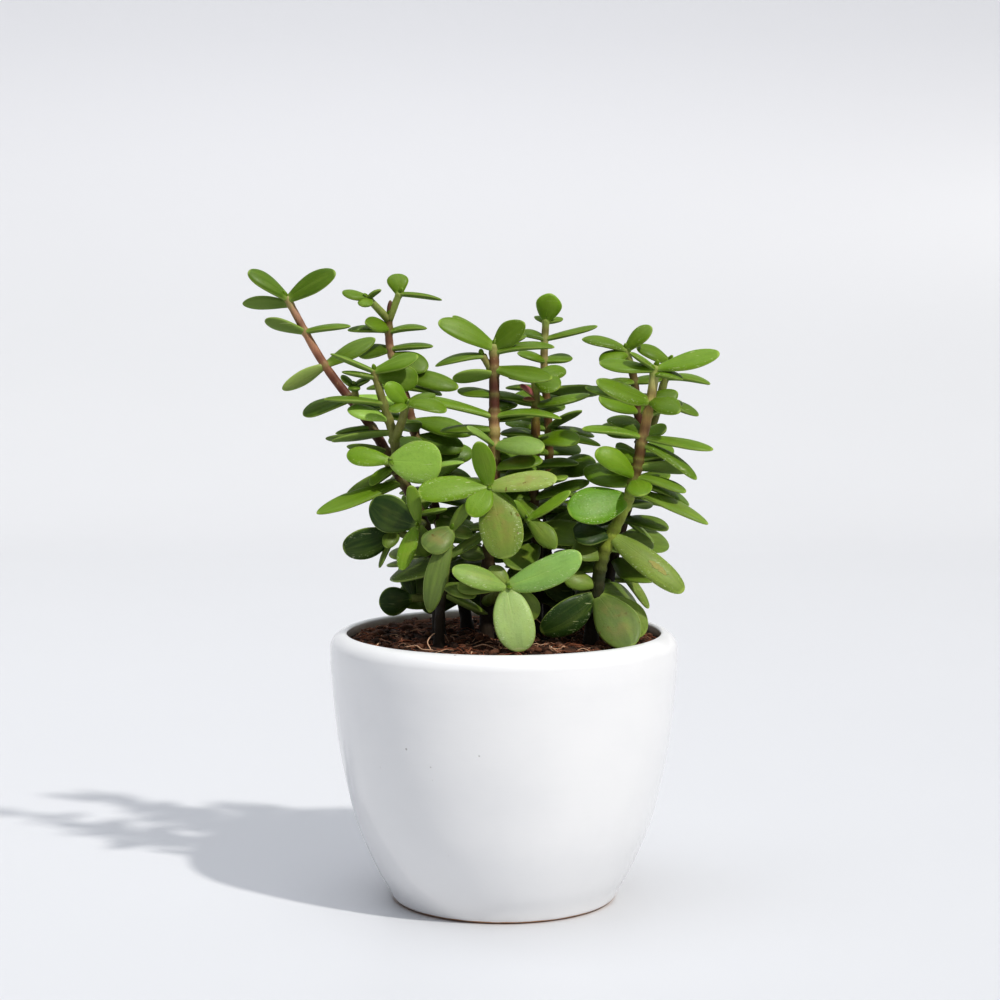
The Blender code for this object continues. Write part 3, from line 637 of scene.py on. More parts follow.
STEMS = {
    "left_stem": [
        Shoot((2.1, 0.9), ((-20, -8, STEM_FOOT), (-20.5, -8, 89), (-21, -9, 103), (-23.5, -10, 116),
               (-28, -11, 128), (-33, -10, 136.5), (-42, -6, 151.5), (-56.5, -3, 170.5), (-68, -2, 191)), (
            (191, -11.5, -4, 8.5, 7, 35), (190.5, 15.5, -5, 8.5, 7.5, 62), (189, -15.5, 3, 0, 5.5, -55),
            (180.5, -12.5, -2, 3.5, 6.5, -30), (180.5, 14.5, -2, 1.5, 5.5, 10),
            (170, -13, -4, -7.5, 6, -50), (170, 15.5, 5, 8.5, 6.5, 40), (159.5, -15, 2, -5, 7.5, 35),
            (160, 12.5, -9, -3.5, 6, 25), (150.5, -11, -5, -1.5, 4, 0), (148.5, -16.5, 3, -2, 6, -20),
            (143, -12, -5, 2, 6, -30), (138, -16, 4, -10, 6, -30), (138.5, -7.5, -5, -5, 4.5, 20),
            (134, -26.5, -8, -9, 7.5, 30), (124, 9.5, -2, 0.5, 5.5, 10), (112.5, -7, 1, -7, 7, 60),
            (133.5, 19, -4, 6.5, 5, 15), (105, -4.5, -1, 0.5, 3, 0))),
        Shoot((1.0, 0.8), ((-46, -6.5, 157), (-46.5, -10, 163.5)), (
            (TIP, -4, -2, 3.5, 3.5, 30), (TIP, 5, -1, 2.5, 4.5, 20), (TIP, 0.5, -5, 1, 4, 20))),
        Shoot((1.4, 1.0), ((-33, -10, 136.5), (-36, -9, 139.5), (-35, -18, 141)), (
            (TIP, -13.5, 0, 2, 7, 60), (TIP, 16, -4, -0.5, 13.5, 78))),
        Shoot((1.4, 1.0), ((-25.5, -10.5, 121), (-26.5, -22, 121.5)), (
            (TIP, -2, -3, 12.5, 4.5, 80), (TIP, -14.5, -1, 7, 12, 100), (TIP, -5, -4, -13.5, 5.5, 70),
            (TIP, 3, 4, -10, 8, 100))),
        Shoot((1.3, 1.0), ((-21, -8.5, 97), (-28.6, -10, 97.5)), (
            (TIP, -10.5, -2, -1.5, 9.5, 100), (TIP, -2.5, 0.5, 9.3, 5, 60))),
        Shoot((1.3, 1.0), ((-23, -9.5, 113), (-33.5, -6, 118)), (
            (TIP, -17, -2, -5.5, 10.5, 105), (TIP, -9, -2, -9, 4, 0), (TIP, -2, -3, -7, 5, 60))),
        Shoot((1.5, 0.9), ((-33, -10, 136.5), (-34, -12, 147), (-36, -13, 154.5), (-38, -14, 161),
               (-40, -14, 168.5)), (
            (168.5, 13.5, -4, 5, 7, 40), (168.5, -13.5, -1, 5.5, 4.5, 0), (166.5, -10, 1, 4, 4.5, 0),
            (167, 13, 3, -1, 8.5, 72), (158.5, -18, -6, 1.5, 5, 10), (149.5, -19, 0, -2, 6, -20),
            (149.5, 9, -6, 2, 5, 30), (153.5, -12, -6, 3, 6.5, 40))),
        Shoot((1.3, 0.9), ((-34, -12, 147), (-31.5, -17, 153), (-30, -20, 158.5)), (
            (TIP, -6, -4, 6.5, 6, 60), (TIP, 12.5, -3, -1.5, 7, 30), (TIP, -4.5, -5, -2, 4.5, 40),
            (TIP, 10, 5, 3, 6, 20))),
    ],
    "front_left_stem": [
        Shoot((1.7, 0.9), ((-19.5, -21, STEM_FOOT), (-20, -22.5, 88.5), (-18.5, -25, 103.5),
               (-16, -27, 120.5)), (
            (120.5, -8.5, -4, -5.5, 9, 60), (120.5, 6, -2, 8.5, 4, 70), (120.5, -4.5, -3, -25.5, 7, 85),
            (119.5, 6.5, 2, 0, 6, 40), (112, 7.5, 3, 12, 3.5, 70), (103, 10, -4, -2.5, 7, 35))),
    ],
    "back_left_stem": [
        Shoot((1.9, 1.0), ((-11, 12, STEM_FOOT), (-12, 12, 86.5), (-16.5, 14, 103.5), (-22.5, 18, 123.5),
               (-28, 22, 143.5), (-32, 24, 159), (-37, 26, 174.5), (-37.5, 26, 185)), (
            (181.5, -7.5, -6, 1.5, 6.5, 55), (180.5, -13.5, 0, 0.5, 5.5, 15),
            (180, 12.5, 0, 1.5, 5.5, 10), (184, 0.5, -3, 6, 2, 60), (174.5, 14, 0, 1, 5.5, 10),
            (174.5, -11, 2, -1.5, 7, 40), (172.5, 11.5, -5, -4.5, 8, 60), (167, 20, -3, -5, 7.5, 50),
            (162, -12, 2, 0, 6, 10), (162, 13, -1, -2, 6, 15), (151, 12, 4, 0, 6, 10),
            (151, -12, 4, 2, 6, 10), (151, 20, -2, -4, 7.5, 55), (145.5, 15, -4, -3, 8, 60),
            (139.5, 17, -3, 1, 8, 60), (134.5, 16, -5, -4, 8, 62), (132, 13, -6, 7.5, 4.5, 60),
            (128.5, 12, -5, 4, 8, 60), (128.5, -10, 5, -1, 7, 10), (121, 11, -5, -1, 8, 60),
            (121, -10, -6, 0, 8, 55), (94, 14, -6, -2, 9, 60), (94, -13, -4, -2, 9, 60))),
        Shoot((1.1, 0.9), ((-37.5, 26, 184), (-34, 25, 192.5)), (
            (TIP, -1, 3, 6.5, 7, 70), (TIP, 14, 0, -1.5, 4.5, 5))),
        Shoot((1.1, 0.9), ((-37.5, 26, 184), (-44, 24, 191)), (
            (TIP, -8.5, -1, 2, 6, 30), (TIP, 5, -1, 2.5, 3.5, 10), (TIP, -2, -4, -3.5, 5, 40))),
    ],
    "middle_stem": [
        Shoot((2.2, 1.3), ((-5.5, -8, STEM_FOOT), (-5.5, -8, 89), (-5, -9, 106), (-4, -10, 121),
               (-3, -10, 137), (-3, -8, 150.5), (-3, -7, 165), (-3, -6, 176)), (
            (175.5, -17.5, -5, 8, 7.5, 50), (175.5, -13, 6, 10, 7, 20), (175.5, 9.5, -4, 8, 8, 65),
            (175.5, 10, 4, 4, 4.5, 10), (174, 18.5, -1, 4, 6, 15), (167.5, -13, -2, -1.5, 7, -35),
            (169, 18, -5, -2.5, 8, 40), (154, -25, -2, 6, 6.5, 15), (154, 21, -3, 0, 6.5, 10),
            (161, -11.5, 4, 1, 6, 20), (150, -17, 3, 0, 6, 15), (145, -7.5, -8, 8.5, 5, 30),
            (145, 15.5, -8, -0.5, 8, 45), (146.5, 5, -3, 2.5, 4, 20), (138, 15, -3, 3, 7, 30),
            (123, -7, -5, -7, 4.5, 60), (121, 10, 4, 3, 7, 20), (111, -9, 3, 2, 8, 40),
            (111, 9, 2, 1, 8, 30))),
        Shoot((1.0, 0.8), ((-3, -6.5, 167), (-6.5, -6, 173)), (
            (TIP, -15, -1, -3, 6, 20),)),
        Shoot((1.6, 1.2), ((-4, -10, 125), (-4.5, -18, 130), (-4.5, -26, 133.5)), (
            (TIP, -3.5, -5, 14.5, 7, 85), (TIP, -21.5, -6, -1.5, 9, 55), (TIP, 20.5, -6, 3, 8, 50),
            (TIP, -5.5, -7, -8, 8, 60), (TIP, 5.5, -7, -21, 13.5, 80), (TIP, 8.5, -1, -7.5, 4, 40))),
        Shoot((1.6, 1.2), ((-5.5, -8.5, 96), (-2, -20, 99.5), (1, -30, 103.5)), (
            (TIP, -16.5, -5, 6, 8, 50), (TIP, 22.5, -4, 10, 10.5, 60), (TIP, 4.2, -8, -18.6, 12.5, 80),
            (TIP, 9, 1, -10, 8.5, 70), (TIP, -15, 2, -1.5, 7, 60), (TIP, -5, 2, 6, 6, 60))),
    ],
    "centre_stem": [
        Shoot((1.9, 1.1), ((10, 2, STEM_FOOT), (10.5, 2, 87.5), (11, 1, 105), (10, 0, 120),
               (9.5, -1, 132), (10, -2, 146), (10, -2, 158), (10, -2, 166)), (
            (165, -8.5, -3, 1.5, 5, -20), (165, 7.5, -4, -2, 8, 50), (165.5, 11, 0, 3.5, 6.5, 45),
            (157.5, -20, 0, 3.5, 6.5, 10), (157.5, 17, -4, 3.5, 6.5, 25), (147, 20.5, -2, -2, 6, 15),
            (147, -11, -1, 2, 6, 10), (138, -16.5, -4, -1.5, 6, 40), (138, 14, 0, 1, 6, 20),
            (128, 17, -6, 6, 6, 30), (128, -10, 2, 3, 7, 30), (117, 19, -2, 9, 7, 20),
            (117, -9, -3, -2, 7, 40), (104, 10, -6, -8, 8, 60), (104, -8, 3, -6, 8, 50),
            (95, -12, -5, -1, 9, 60), (96, 12, -4, 0, 8, 50))),
        Shoot((1.2, 0.9), ((10, 0, 118), (7.5, -18, 123)), (
            (TIP, 8.5, -5, -8.5, 6.5, 65), (TIP, -4.5, -2, 6, 3, 60), (TIP, 13, -3, 9, 5, 30))),
    ],
    "back_stem": [
        Shoot((1.8, 0.9), ((14.5, 18, STEM_FOOT), (14.5, 18, 85.5), (14, 17, 108), (14.5, 16, 128.5),
               (14.5, 15, 149), (13, 14, 169.5), (13.5, 13, 184)), (
            (184, 1.5, -3, 8.5, 8.5, 85), (183.5, 5.5, 4, 1, 4, 10), (183.5, -3.5, 4, 0, 3, 10),
            (178, 17, 0, 4, 5, 10), (178, -8, 1, 2, 5, 20), (171, -8.5, -4, 2.5, 6, 30),
            (171, 9, 4, 1, 6, 20), (161.5, 19, 3, -1, 8, -30), (161.5, -13, 4, 1, 6, 10),
            (149, 15, 2, -2, 7, 10), (149, -14, 4, 2, 7, 10), (137, 16, 3, 0, 8, 10),
            (137, -13, 3, 1, 8, 10), (122.5, 14, 2, 0, 8, 30), (122.5, -12, 4, 1, 8, 30),
            (97, -12, -3, -2, 9, 50))),
    ],
    "right_stem": [
        Shoot((2.2, 1.2), ((26.5, -12, STEM_FOOT), (27.5, -13, 89), (29, -14, 100.5), (30.5, -15, 110),
               (33.5, -15, 118), (36.5, -14, 124), (39.5, -14, 131.5), (41.5, -14, 139.5),
               (43.5, -14, 150), (45.5, -13, 159.5), (47, -12, 169.5)), (
            (169, -17.5, -2, 2, 7, 30), (169, 19.5, -5, 5, 7.5, 45), (169, -8, -4, 5.5, 4.5, 20),
            (167.5, 8.5, -4, -1.5, 5, 20), (159, -17, -6, 6.5, 9, 45), (158.5, -20, 3, 5.5, 6, 20),
            (159, 8.5, -9, -3, 7.5, 50), (148, -19, -3, 3, 6, 15), (148, 21.5, -4, -3, 7, 15),
            (146, 17, -5, -10, 6, 20), (141, -10, 5, 2, 7, 40), (138.5, 16, 3, -1, 7, -30),
            (135.5, -12.5, -6, 8.5, 7.5, 60), (135.5, 15.5, -5, -4.5, 5.5, 20),
            (134, 18, 5, -7, 6.5, 20), (134.5, 0.5, -10, -6, 8, 60), (131.5, 23.5, -6, -10, 7, 25),
            (129, -19, -8, -3.5, 12.5, 65), (117.5, 22, -8, -16.5, 9, 60), (117.5, -12, -3, -2, 10, 40),
            (110.5, -9, -4, 3, 8, 50), (102, -9.5, -4, 5, 7, 50), (99, 10, -16, -14.5, 13.5, 76),
            (99, 13, -9, -12, 11, 70), (99, -17.5, -8, -10.5, 11, 95))),
    ],
    "far_right_stem": [
        Shoot((1.9, 1.0), ((27.5, 8, STEM_FOOT), (30.5, 8, 88.5), (33, 8, 97.5), (35.5, 8, 109),
               (38.5, 8, 120), (41, 8, 130), (43, 8, 141), (43.5, 8, 149), (42.5, 8, 157),
               (41.5, 8, 165.5), (39, 8, 174.5)), (
            (174.5, 8, -2, 7.5, 6.5, 45), (174.5, -14, -1, 4, 6.5, 25), (173.5, -9, -4, -1.5, 6.5, 50),
            (164.5, -9, -2, -1, 6, 20), (164.5, 9, 3, 1, 6, 20), (149.5, -12, 3, 1, 7, 20),
            (137.5, 14, -1, -1, 7, -30), (137.5, -13, 4, 0, 7, 20), (121, 10, 2, -8, 5, 10),
            (121, -12, 3, 2, 8, 20), (107, 12, -1, -15, 5, 20))),
        Shoot((1.4, 0.9), ((43, 8, 144.5), (47.5, 11, 150.5), (50, 12, 158.5), (53, 12, 170.5)), (
            (170.5, -10.5, -3, 5, 6.5, 40), (165.5, 14.5, -1, -2, 6, 15), (158, 13, 0, -4, 6, 20),
            (157.5, -9, 4, 2, 6, 20), (165.5, 3, 5, 5, 6, 20))),
    ],
}

# Bark colours up each stem, as pairs of a height and a colour. The near-black colours at the foot are dark
# old bark deepened with painted shade.
BARK = {
    "left_stem": ((82, (20, 15, 10)), (98, (28, 22, 13)), (118, (60, 46, 26)), (136, (88, 62, 34)),
        (146, (92, 60, 38)), (153, (98, 54, 36)), (158, (84, 44, 30)), (161, (106, 60, 42)),
        (169, (142, 96, 68)), (174, (178, 126, 98)), (181, (172, 132, 98)), (186, (184, 140, 112)),
        (191, (166, 150, 100))),
    "front_left_stem": ((82, (20, 15, 10)), (98, (34, 28, 16)), (108, (100, 108, 48)),
        (120, (150, 166, 76))),
    "back_left_stem": ((82, (20, 15, 10)), (100, (34, 26, 16)), (140, (104, 74, 46)),
        (168, (160, 122, 88)), (176, (172, 130, 102)), (180, (122, 86, 58)), (186, (126, 128, 66)),
        (192, (140, 160, 80))),
    "middle_stem": ((82, (34, 25, 16)), (98, (46, 35, 20)), (112, (72, 58, 30)), (140, (108, 86, 42)),
        (145, (172, 162, 90)), (150, (190, 160, 108)), (154, (178, 138, 98)), (157, (98, 60, 42)),
        (164, (86, 56, 36)), (168, (122, 96, 60)), (172, (146, 114, 74)), (176, (166, 168, 100))),
    "centre_stem": ((82, (20, 15, 10)), (98, (32, 25, 14)), (130, (92, 72, 34)), (148, (126, 98, 42)),
        (154, (128, 112, 46)), (160, (158, 160, 76)), (166, (140, 168, 68))),
    "back_stem": ((82, (20, 15, 10)), (104, (36, 28, 16)), (150, (128, 98, 56)), (165, (164, 136, 88)),
        (175, (190, 180, 120)), (184, (150, 172, 84))),
    "right_stem": ((82, (24, 20, 10)), (94, (34, 34, 12)), (105, (50, 58, 16)), (111, (92, 104, 32)),
        (115, (146, 162, 56)), (126, (168, 184, 74)), (131, (142, 164, 62)), (136, (104, 90, 38)),
        (144, (112, 92, 42)), (149, (182, 146, 96)), (155, (184, 150, 90)), (160, (190, 178, 104)),
        (165, (186, 182, 116)), (170, (150, 170, 78))),
    "far_right_stem": ((82, (20, 15, 10)), (100, (32, 25, 14)), (130, (76, 54, 30)), (150, (96, 58, 38)),
        (158, (82, 50, 32)), (168, (112, 98, 50)), (174, (142, 158, 76))),
}
YOUNG_BARK = (150, 166, 84)


def between(ends, share):
    return ends[0] + (ends[1] - ends[0]) * share


def held(value):
    """A value held between 0 and 1."""
    return min(1.0, max(0.0, value))


def tube_points(line, radii, sides):
    """Rings of points along a line, all turned alike. radii are those of its two ends, or of each ring."""
    points = []
    for index, spot in enumerate(line):
        along = heading_at(line, index)
        right = along.orthogonal() if abs(along.y) > MOSTLY_BACK else Vector((0, 1, 0)).cross(along)
        right.normalize()
        radius = radii[index] if len(radii) > 2 else between(radii, index / (len(line) - 1))
        points += ring_round(spot, radius, sides, right, along.cross(right))
    return points


def point_on(line, height):
    """The place on a shoot's line at a height, or its tip."""
    if height == TIP:
        return line[-1]
    for start, end in zip(line[:-1], line[1:]):
        if start.z <= height <= end.z:
            return start.lerp(end, (height - start.z) / (end.z - start.z))
    return line[-1]


def half_width(share, width, root, widest, swell, tip=2.0):
    """Half a leaf's width at a share of its length: a narrow root, widest past the middle, a round tip."""
    if share < widest:
        return 0.5 * width * (root + (1 - root) * math.sin(0.5 * math.pi * share / widest) ** swell)
    past = (share - widest) / (1 - widest)
    return 0.5 * width * max(0.0, 1 - past ** tip) ** (1 / tip)


def leaf_frame(form):
    """A leaf's directions across and out of its upper face, and its base and reach, sunk in the stem."""
    along = form.reach.normalized()
    turn = math.radians(form.face)
    upward = Vector((0, -math.sin(turn), math.cos(turn)))
    upward = (upward - along * upward.dot(along)).normalized()
    return upward.cross(along), upward, form.base - along * LEAF_SUNK, form.reach + along * LEAF_SUNK


def plain_leaf(form, margin=0.0):
    """Each station's two edges and its keel below, then the tip. This shows where a leaf has room."""
    length = form.reach.length
    root = LEAF_ROOT_WIDTH / form.width
    across, upward, base, reach = leaf_frame(form)
    points = []
    for share in LEAF_STATIONS:
        middle = base + reach * share + upward * (4 * share * (1 - share) * form.arch * length)
        half = half_width(share, form.width, root, LEAF_WIDEST, LEAF_SWELL) + margin
        middle_share = math.sin(math.pi * share)
        thick = LEAF_KEEL * (LEAF_KEEL_ENDS + (1 - LEAF_KEEL_ENDS) * middle_share) + margin
        rim = upward * thick * LEAF_RIM
        points += [middle + across * half + rim, middle - across * half + rim, middle - upward * thick]
    points.append(base + reach * (1 + margin / length))
    return points


LEAF_FACES = capped(len(LEAF_STATIONS), LEAF_CORNERS, tip=True)
BLADE_FACES = [face for face in LEAF_FACES if min(face) >= LEAF_CORNERS]
OUTER_FACES = [face for face in LEAF_FACES if min(face) >= 2 * LEAF_CORNERS]


def swung(reach, yaw, pitch):
    """A leaf's reach turned round the upright and then up or down."""
    turned_reach = Matrix.Rotation(math.radians(yaw), 3, "Z") @ reach
    side = turned_reach.cross(Vector((0, 0, 1))).normalized()
    return Matrix.Rotation(math.radians(pitch), 3, side) @ turned_reach


class Placed:
    """A leaf in its place, with the shapes that show whether it crosses another."""

    def __init__(self, node, form):
        self.node = node
        self.row = None
        self.form = form
        self.middle = form.base + 0.5 * form.reach
        self.span = 0.5 * form.reach.length + form.width
        wide = plain_leaf(form, LEAF_CLEARANCE)
        self.near = BVHTree.FromPolygons(wide, LEAF_FACES)
        self.blade = BVHTree.FromPolygons(wide, BLADE_FACES)
        self.outer = BVHTree.FromPolygons(wide, OUTER_FACES)
        self.own = BVHTree.FromPolygons(plain_leaf(form), LEAF_FACES)

    def crosses(self, other):
        if (self.middle - other.middle).length > self.span + other.span:
            return False
        if self.node != other.node:
            return bool(self.near.overlap(other.own))
        if (self.form.base - other.form.base).length < SAME_BUD:
            return bool(self.outer.overlap(other.outer))
        return bool(self.blade.overlap(other.blade))


class Solid:
    """A stem, the soil or the pot, which leaves keep clear of."""

    def __init__(self, node, points, faces):
        self.node = node
        self.own = BVHTree.FromPolygons(points, faces)

    def crossed_by(self, placed):
        shape = placed.blade if placed.node == self.node else placed.near
        return bool(shape.overlap(self.own))


def bent_clear(node, base, wanted, arch, solids, leaves):
    """The leaf in its wanted place, or bent as little as keeps it clear of the rest, or nothing."""
    straight = Vector((wanted.right, wanted.back, wanted.up))
    for share in SHORTER:
        for yaw, pitch in BENDS:
            reach = swung(straight, yaw, pitch) * share
            placed = Placed(node, Form(base, reach, wanted.width * share, wanted.face, arch))
            if any(solid.crossed_by(placed) for solid in solids):
                continue
            if not any(placed.crosses(other) for other in leaves):
                return placed
    return None


def rule_leaves(line, draw, all_round):
    """Crossed pairs up a stem, each turned a quarter from the last. A front stem keeps those behind it."""
    top = min(line[-1].z - RULE_BELOW_TIP, RULE_STOP)
    leaves = []
    height = RULE_START
    quarter = 0
    while height < top:
        age = (height - RULE_START) / (RULE_STOP - RULE_START)
        for opposite in (0, 180):
            turn = RULE_FIRST_TURN + 90 * quarter + opposite + draw.uniform(*RULE_TURN_SPREAD)
            lift = math.radians(between(RULE_LIFT, age) + draw.uniform(*RULE_LIFT_SPREAD))
            length = between(RULE_LENGTH, age) * draw.uniform(*RULE_LENGTH_SPREAD)
            face = draw.uniform(*RULE_FACE_SPREAD)
            right = math.cos(math.radians(turn))
            back = math.sin(math.radians(turn))
            if back > 0 or all_round:
                flat = length * math.cos(lift)
                up = length * math.sin(lift)
                leaves.append(Leaf(height, flat * right, flat * back, up, RULE_WIDTH * length, face))
        height += between(RULE_SPACING, age) * draw.uniform(*RULE_SPACING_SPREAD)
        quarter += 1
    return leaves


def grow(name, line, wanted_leaves, draw, solids, leaves, shoot=None):
    """Adds the leaves of one shoot to those in place, without the few that find no room."""
    for row, wanted in enumerate(wanted_leaves):
        arch = draw.uniform(*LEAF_ARCH)
        placed = bent_clear(name, point_on(line, wanted.height), wanted, arch, solids, leaves)
        if placed:
            placed.row = (shoot, row)
            leaves.append(placed)


plain_lines = {}
solids = []
for name in ("pot", "soil"):
    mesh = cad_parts[name].data
    solids.append(Solid(name, [vertex.co / MM for vertex in mesh.vertices],
                        [tuple(face.vertices) for face in mesh.polygons]))
for name, shoots in STEMS.items():
    plain_lines[name] = [smooth_route(shoot.route, ROUTE_STEPS) for shoot in shoots]
    for shoot, line in zip(shoots, plain_lines[name]):
        solids.append(Solid(name, tube_points(line, shoot.radii, STEM_SIDES), capped(len(line), STEM_SIDES)))
leaves = []
draw = random.Random(RULE_SEED)
for name, shoots in STEMS.items():
    for number, (shoot, line) in enumerate(zip(shoots, plain_lines[name])):
        grow(name, line, [Leaf(*row) for row in shoot.leaves], draw, solids, leaves, number)
for name in STEMS:
    line = plain_lines[name][0]
    grow(name, line, rule_leaves(line, draw, name in ALL_ROUND), draw, solids, leaves)


# The leaves and bark as they are seen
# Each leaf is a plump pad with a rounded rim, a faint fold along its middle and a paler edge, partly its own
# colour and partly a painted glow. Those at the tips are a fresh green, the old ones below are larger and
# sage green, and those with other leaves between them and the window are darkened toward deep green as
# painted shade. The stems are green and juicy at their tips and corky at the foot, where painted shade
# deepens the dark old bark to near black.
SKIN_SIDES = 16
SKIN_INNER_STATIONS = 12
SKIN_OUTER_STATIONS = 9
SKIN_UP = 1.05
SKIN_DOWN = 1.3
SKIN_WIDEST = (0.56, 0.68)
SKIN_TIP = (1.6, 2.2)
BROAD_TIP = 2.05
SKIN_ROOT_WIDTH = 2.2
SKIN_ROOT_MOST = 0.5
SKIN_SWELL = (0.95, 1.4)
BROAD_SWELL = 0.75
SKIN_BOW = (-0.035, 0.035)
SKIN_TWIST = (-10, 10)
SKIN_CUP = (-0.35, 0.5)
SKIN_CUPPED_WIDTH = 8
SKIN_CUP_LEVEL = 0.3
SKIN_CUP_RISE = 3
SKIN_DROOP = (-0.04, 0.03)
SKIN_BODY = 0.55
SKIN_BODY_GAIN = 0.45
SKIN_BODY_MOST = 1.25
SKIN_BODY_WIDTH = 7
SKIN_ENDS = 0.80
SKIN_ENDS_GAIN = 0.20
SKIN_ENDS_REACH = 1.15
SKIN_TIP_CLOSING = 2.6
SKIN_LEAST = 0.12
SKIN_RIPPLE = 0.02
SKIN_RIPPLE_TURNS = 9
SKIN_RIPPLE_STARTS = (0, 6)
SKIN_FOLD = 0.16
SKIN_FOLD_WIDTH = 1.8
TIP_LEAVES = ((0.9, 3.0, 1.5), (-0.9, 2.5, 1.3))
TIP_LEAF_SPREAD = (0.7, 1.0)
TIP_LEAF_FACES = (20, 70)
TIP_LEAF_LEAN = 0.55
TIP_LEAF_ASIDE = 0.25
SMALL_ARCH = 0.05

BARK_SPACING = 0.7
BARK_LAST_GAP = 0.3
BARK_STEPS = 8
BARK_SIDES = 16
BARK_EXTRA = 0.25
BARK_WAVE = 0.05
BARK_WAVE_CLOSENESS = 0.35
BARK_WAVE_SHIFT = 9
BARK_TIP = ((0.45, 0.86), (0.8, 0.5))
BARK_OLD_BELOW = 84.0
BARK_AGEING = 90.0
FLARE = 0.25
FLARE_HEIGHT = 5.0
RING_SWELL = 0.17
RING_WIDTH = 1.1
GROOVE_DEPTH = 0.07
GROOVE_PLACE = 1.9
GROOVE_WIDTH = 0.5
JOINT_REACH = 12
JOINT_FAR = 9.0
JOINT_ASIDE = 0.4
JOINT_GREEN = 0.3
JOINT_GREEN_FROM = 105.0
JOINT_GREEN_RISE = 30.0
JOINT_GREEN_WIDTH = 1.2
JOINT_MAROON = 0.5
JOINT_MAROON_PLACE = 2.6
JOINT_MAROON_WIDTH = 1.5
SHOOT_GREEN = 0.6

# Colours as seen, in steps up to 255
LEAF_YOUNG = (96, 124, 12)
LEAF_GROWN = (114, 148, 26)
LEAF_BRIGHT = (152, 188, 82)
LEAF_LUSH = (98, 144, 18)
LEAF_TOP = (84, 112, 14)
LEAF_FRESH = (134, 162, 80)
LEAF_OLD = (124, 144, 62)
LEAF_SAGE = (150, 168, 84)
LEAF_PALE = (164, 188, 118)
# A dusty grey-green, partly painted shade: dark enough to stand for the shadow on the low right leaf
LEAF_DUSTY_AND_SHADED = (104, 122, 62)
LEAF_GREY = (142, 180, 96)
# Painted shade: the deep green that shaded leaves are darkened toward
LEAF_PAINTED_SHADE = (34, 60, 10)
LEAF_CLOUD = (70, 104, 22)
LEAF_FLECK = (62, 94, 24)
LEAF_STREAK = (168, 194, 84)
LEAF_DARK_STREAK = (62, 96, 20)
LEAF_MIDRIB = (176, 200, 110)
LEAF_DOT = (66, 96, 30)
LEAF_BLUSH = (160, 130, 78)
# A paler margin, brightened further as a painted glow
LEAF_EDGE_AND_GLOW = (186, 206, 104)
LEAF_ROOT = (158, 180, 92)
LEAF_UNDERSIDE = (120, 138, 80)
LEAF_CORK = (128, 104, 56)
LEAF_SCRATCH = (196, 200, 150)
LEAF_SCUFF = (210, 220, 176)
LEAF_SCAR = (168, 158, 96)
BARK_MAROON = (92, 42, 32)
BARK_GRAIN = (40, 24, 12)
BARK_CORK = (98, 82, 62)
BARK_FLECK = (206, 186, 130)

# The way to the window, and how far the leaves toward it darken a leaf's colour as painted shade
WINDOW_WAY = Vector((0.45, -0.55, 0.70))
SHADE_REACH = 9.0
SHADE_FULL = 3.2
SHADE_NEAREST = 2.0
SHADE_FARTHEST = 20.0
SHADE_DEPTHS = (0.9, 0.6)
LEAF_SEED = 23
YOUNG_ABOVE = 160.0
OLD_BELOW = 108.0
YOUNG_SPREAD = (-0.22, 0.22)
TINT_SPREAD = (0.86, 1.14)
AGE_SPREAD = (-0.15, 0.15)
BLUSH_SPREAD = (0.0, 0.55)
SCAR_SPREAD = (0.0, 0.7)
SCRATCH_SHARE = 0.78

# Leaves whose colour stands out, by stem, then by shoot and place in its list. The deep green ones are
# painted shade.
LEAF_TONES = {
    # The left stem's leaf (0, 5) takes the pale sage tone partly as painted light, lifting a leaf that faces
    # away from the sun
    "left_stem": {(0, 0): LEAF_TOP, (0, 1): LEAF_TOP, (0, 5): LEAF_SAGE, (0, 8): LEAF_BRIGHT,
                  (0, 17): LEAF_BRIGHT, (2, 1): LEAF_BRIGHT, (3, 1): LEAF_PAINTED_SHADE, (4, 0): LEAF_PAINTED_SHADE,
                  (4, 1): LEAF_PAINTED_SHADE, (5, 0): LEAF_PAINTED_SHADE, (6, 7): LEAF_BRIGHT, (7, 0): LEAF_GROWN},
    "front_left_stem": {(0, 0): LEAF_DUSTY_AND_SHADED, (0, 2): LEAF_DUSTY_AND_SHADED},
    "back_left_stem": {(0, 21): LEAF_PAINTED_SHADE, (0, 22): LEAF_PAINTED_SHADE},
    "middle_stem": {(0, 11): LEAF_FRESH, (0, 12): LEAF_FRESH, (2, 2): LEAF_SAGE, (2, 4): LEAF_OLD,
                    (3, 0): LEAF_FRESH, (3, 1): LEAF_GREY, (3, 2): LEAF_PALE},
    "centre_stem": {(0, 15): LEAF_PAINTED_SHADE, (0, 16): LEAF_PAINTED_SHADE},
    "back_stem": {(0, 0): LEAF_GROWN, (0, 15): LEAF_PAINTED_SHADE},
    # The low right leaf (0, 22) takes the dusty tone partly as painted shade
    "right_stem": {(0, 1): LEAF_GROWN, (0, 17): LEAF_LUSH, (0, 18): LEAF_OLD, (0, 19): LEAF_PAINTED_SHADE,
                   (0, 22): LEAF_DUSTY_AND_SHADED, (0, 24): LEAF_PAINTED_SHADE},
    "far_right_stem": {},
}
# Leaves with a red-brown blush, with scratches, with a corky scar, and with a broad outline
BLUSHED = {"front_left_stem": ((0, 0),), "middle_stem": ((0, 14), (2, 2), (2, 4)), "right_stem": ((0, 22),)}
SCRATCHED = {"left_stem": ((2, 1),), "right_stem": ((0, 17),),
             "middle_stem": ((2, 1), (2, 2), (2, 4), (3, 0), (3, 1), (3, 2))}
SCARRED = {"right_stem": ((0, 18),)}
BROAD = {"left_stem": ((0, 0), (2, 1)), "front_left_stem": ((0, 0),), "right_stem": ((0, 17), (0, 18)),
         "middle_stem": ((0, 0), (2, 1), (2, 2), (3, 0), (3, 1), (3, 2))}

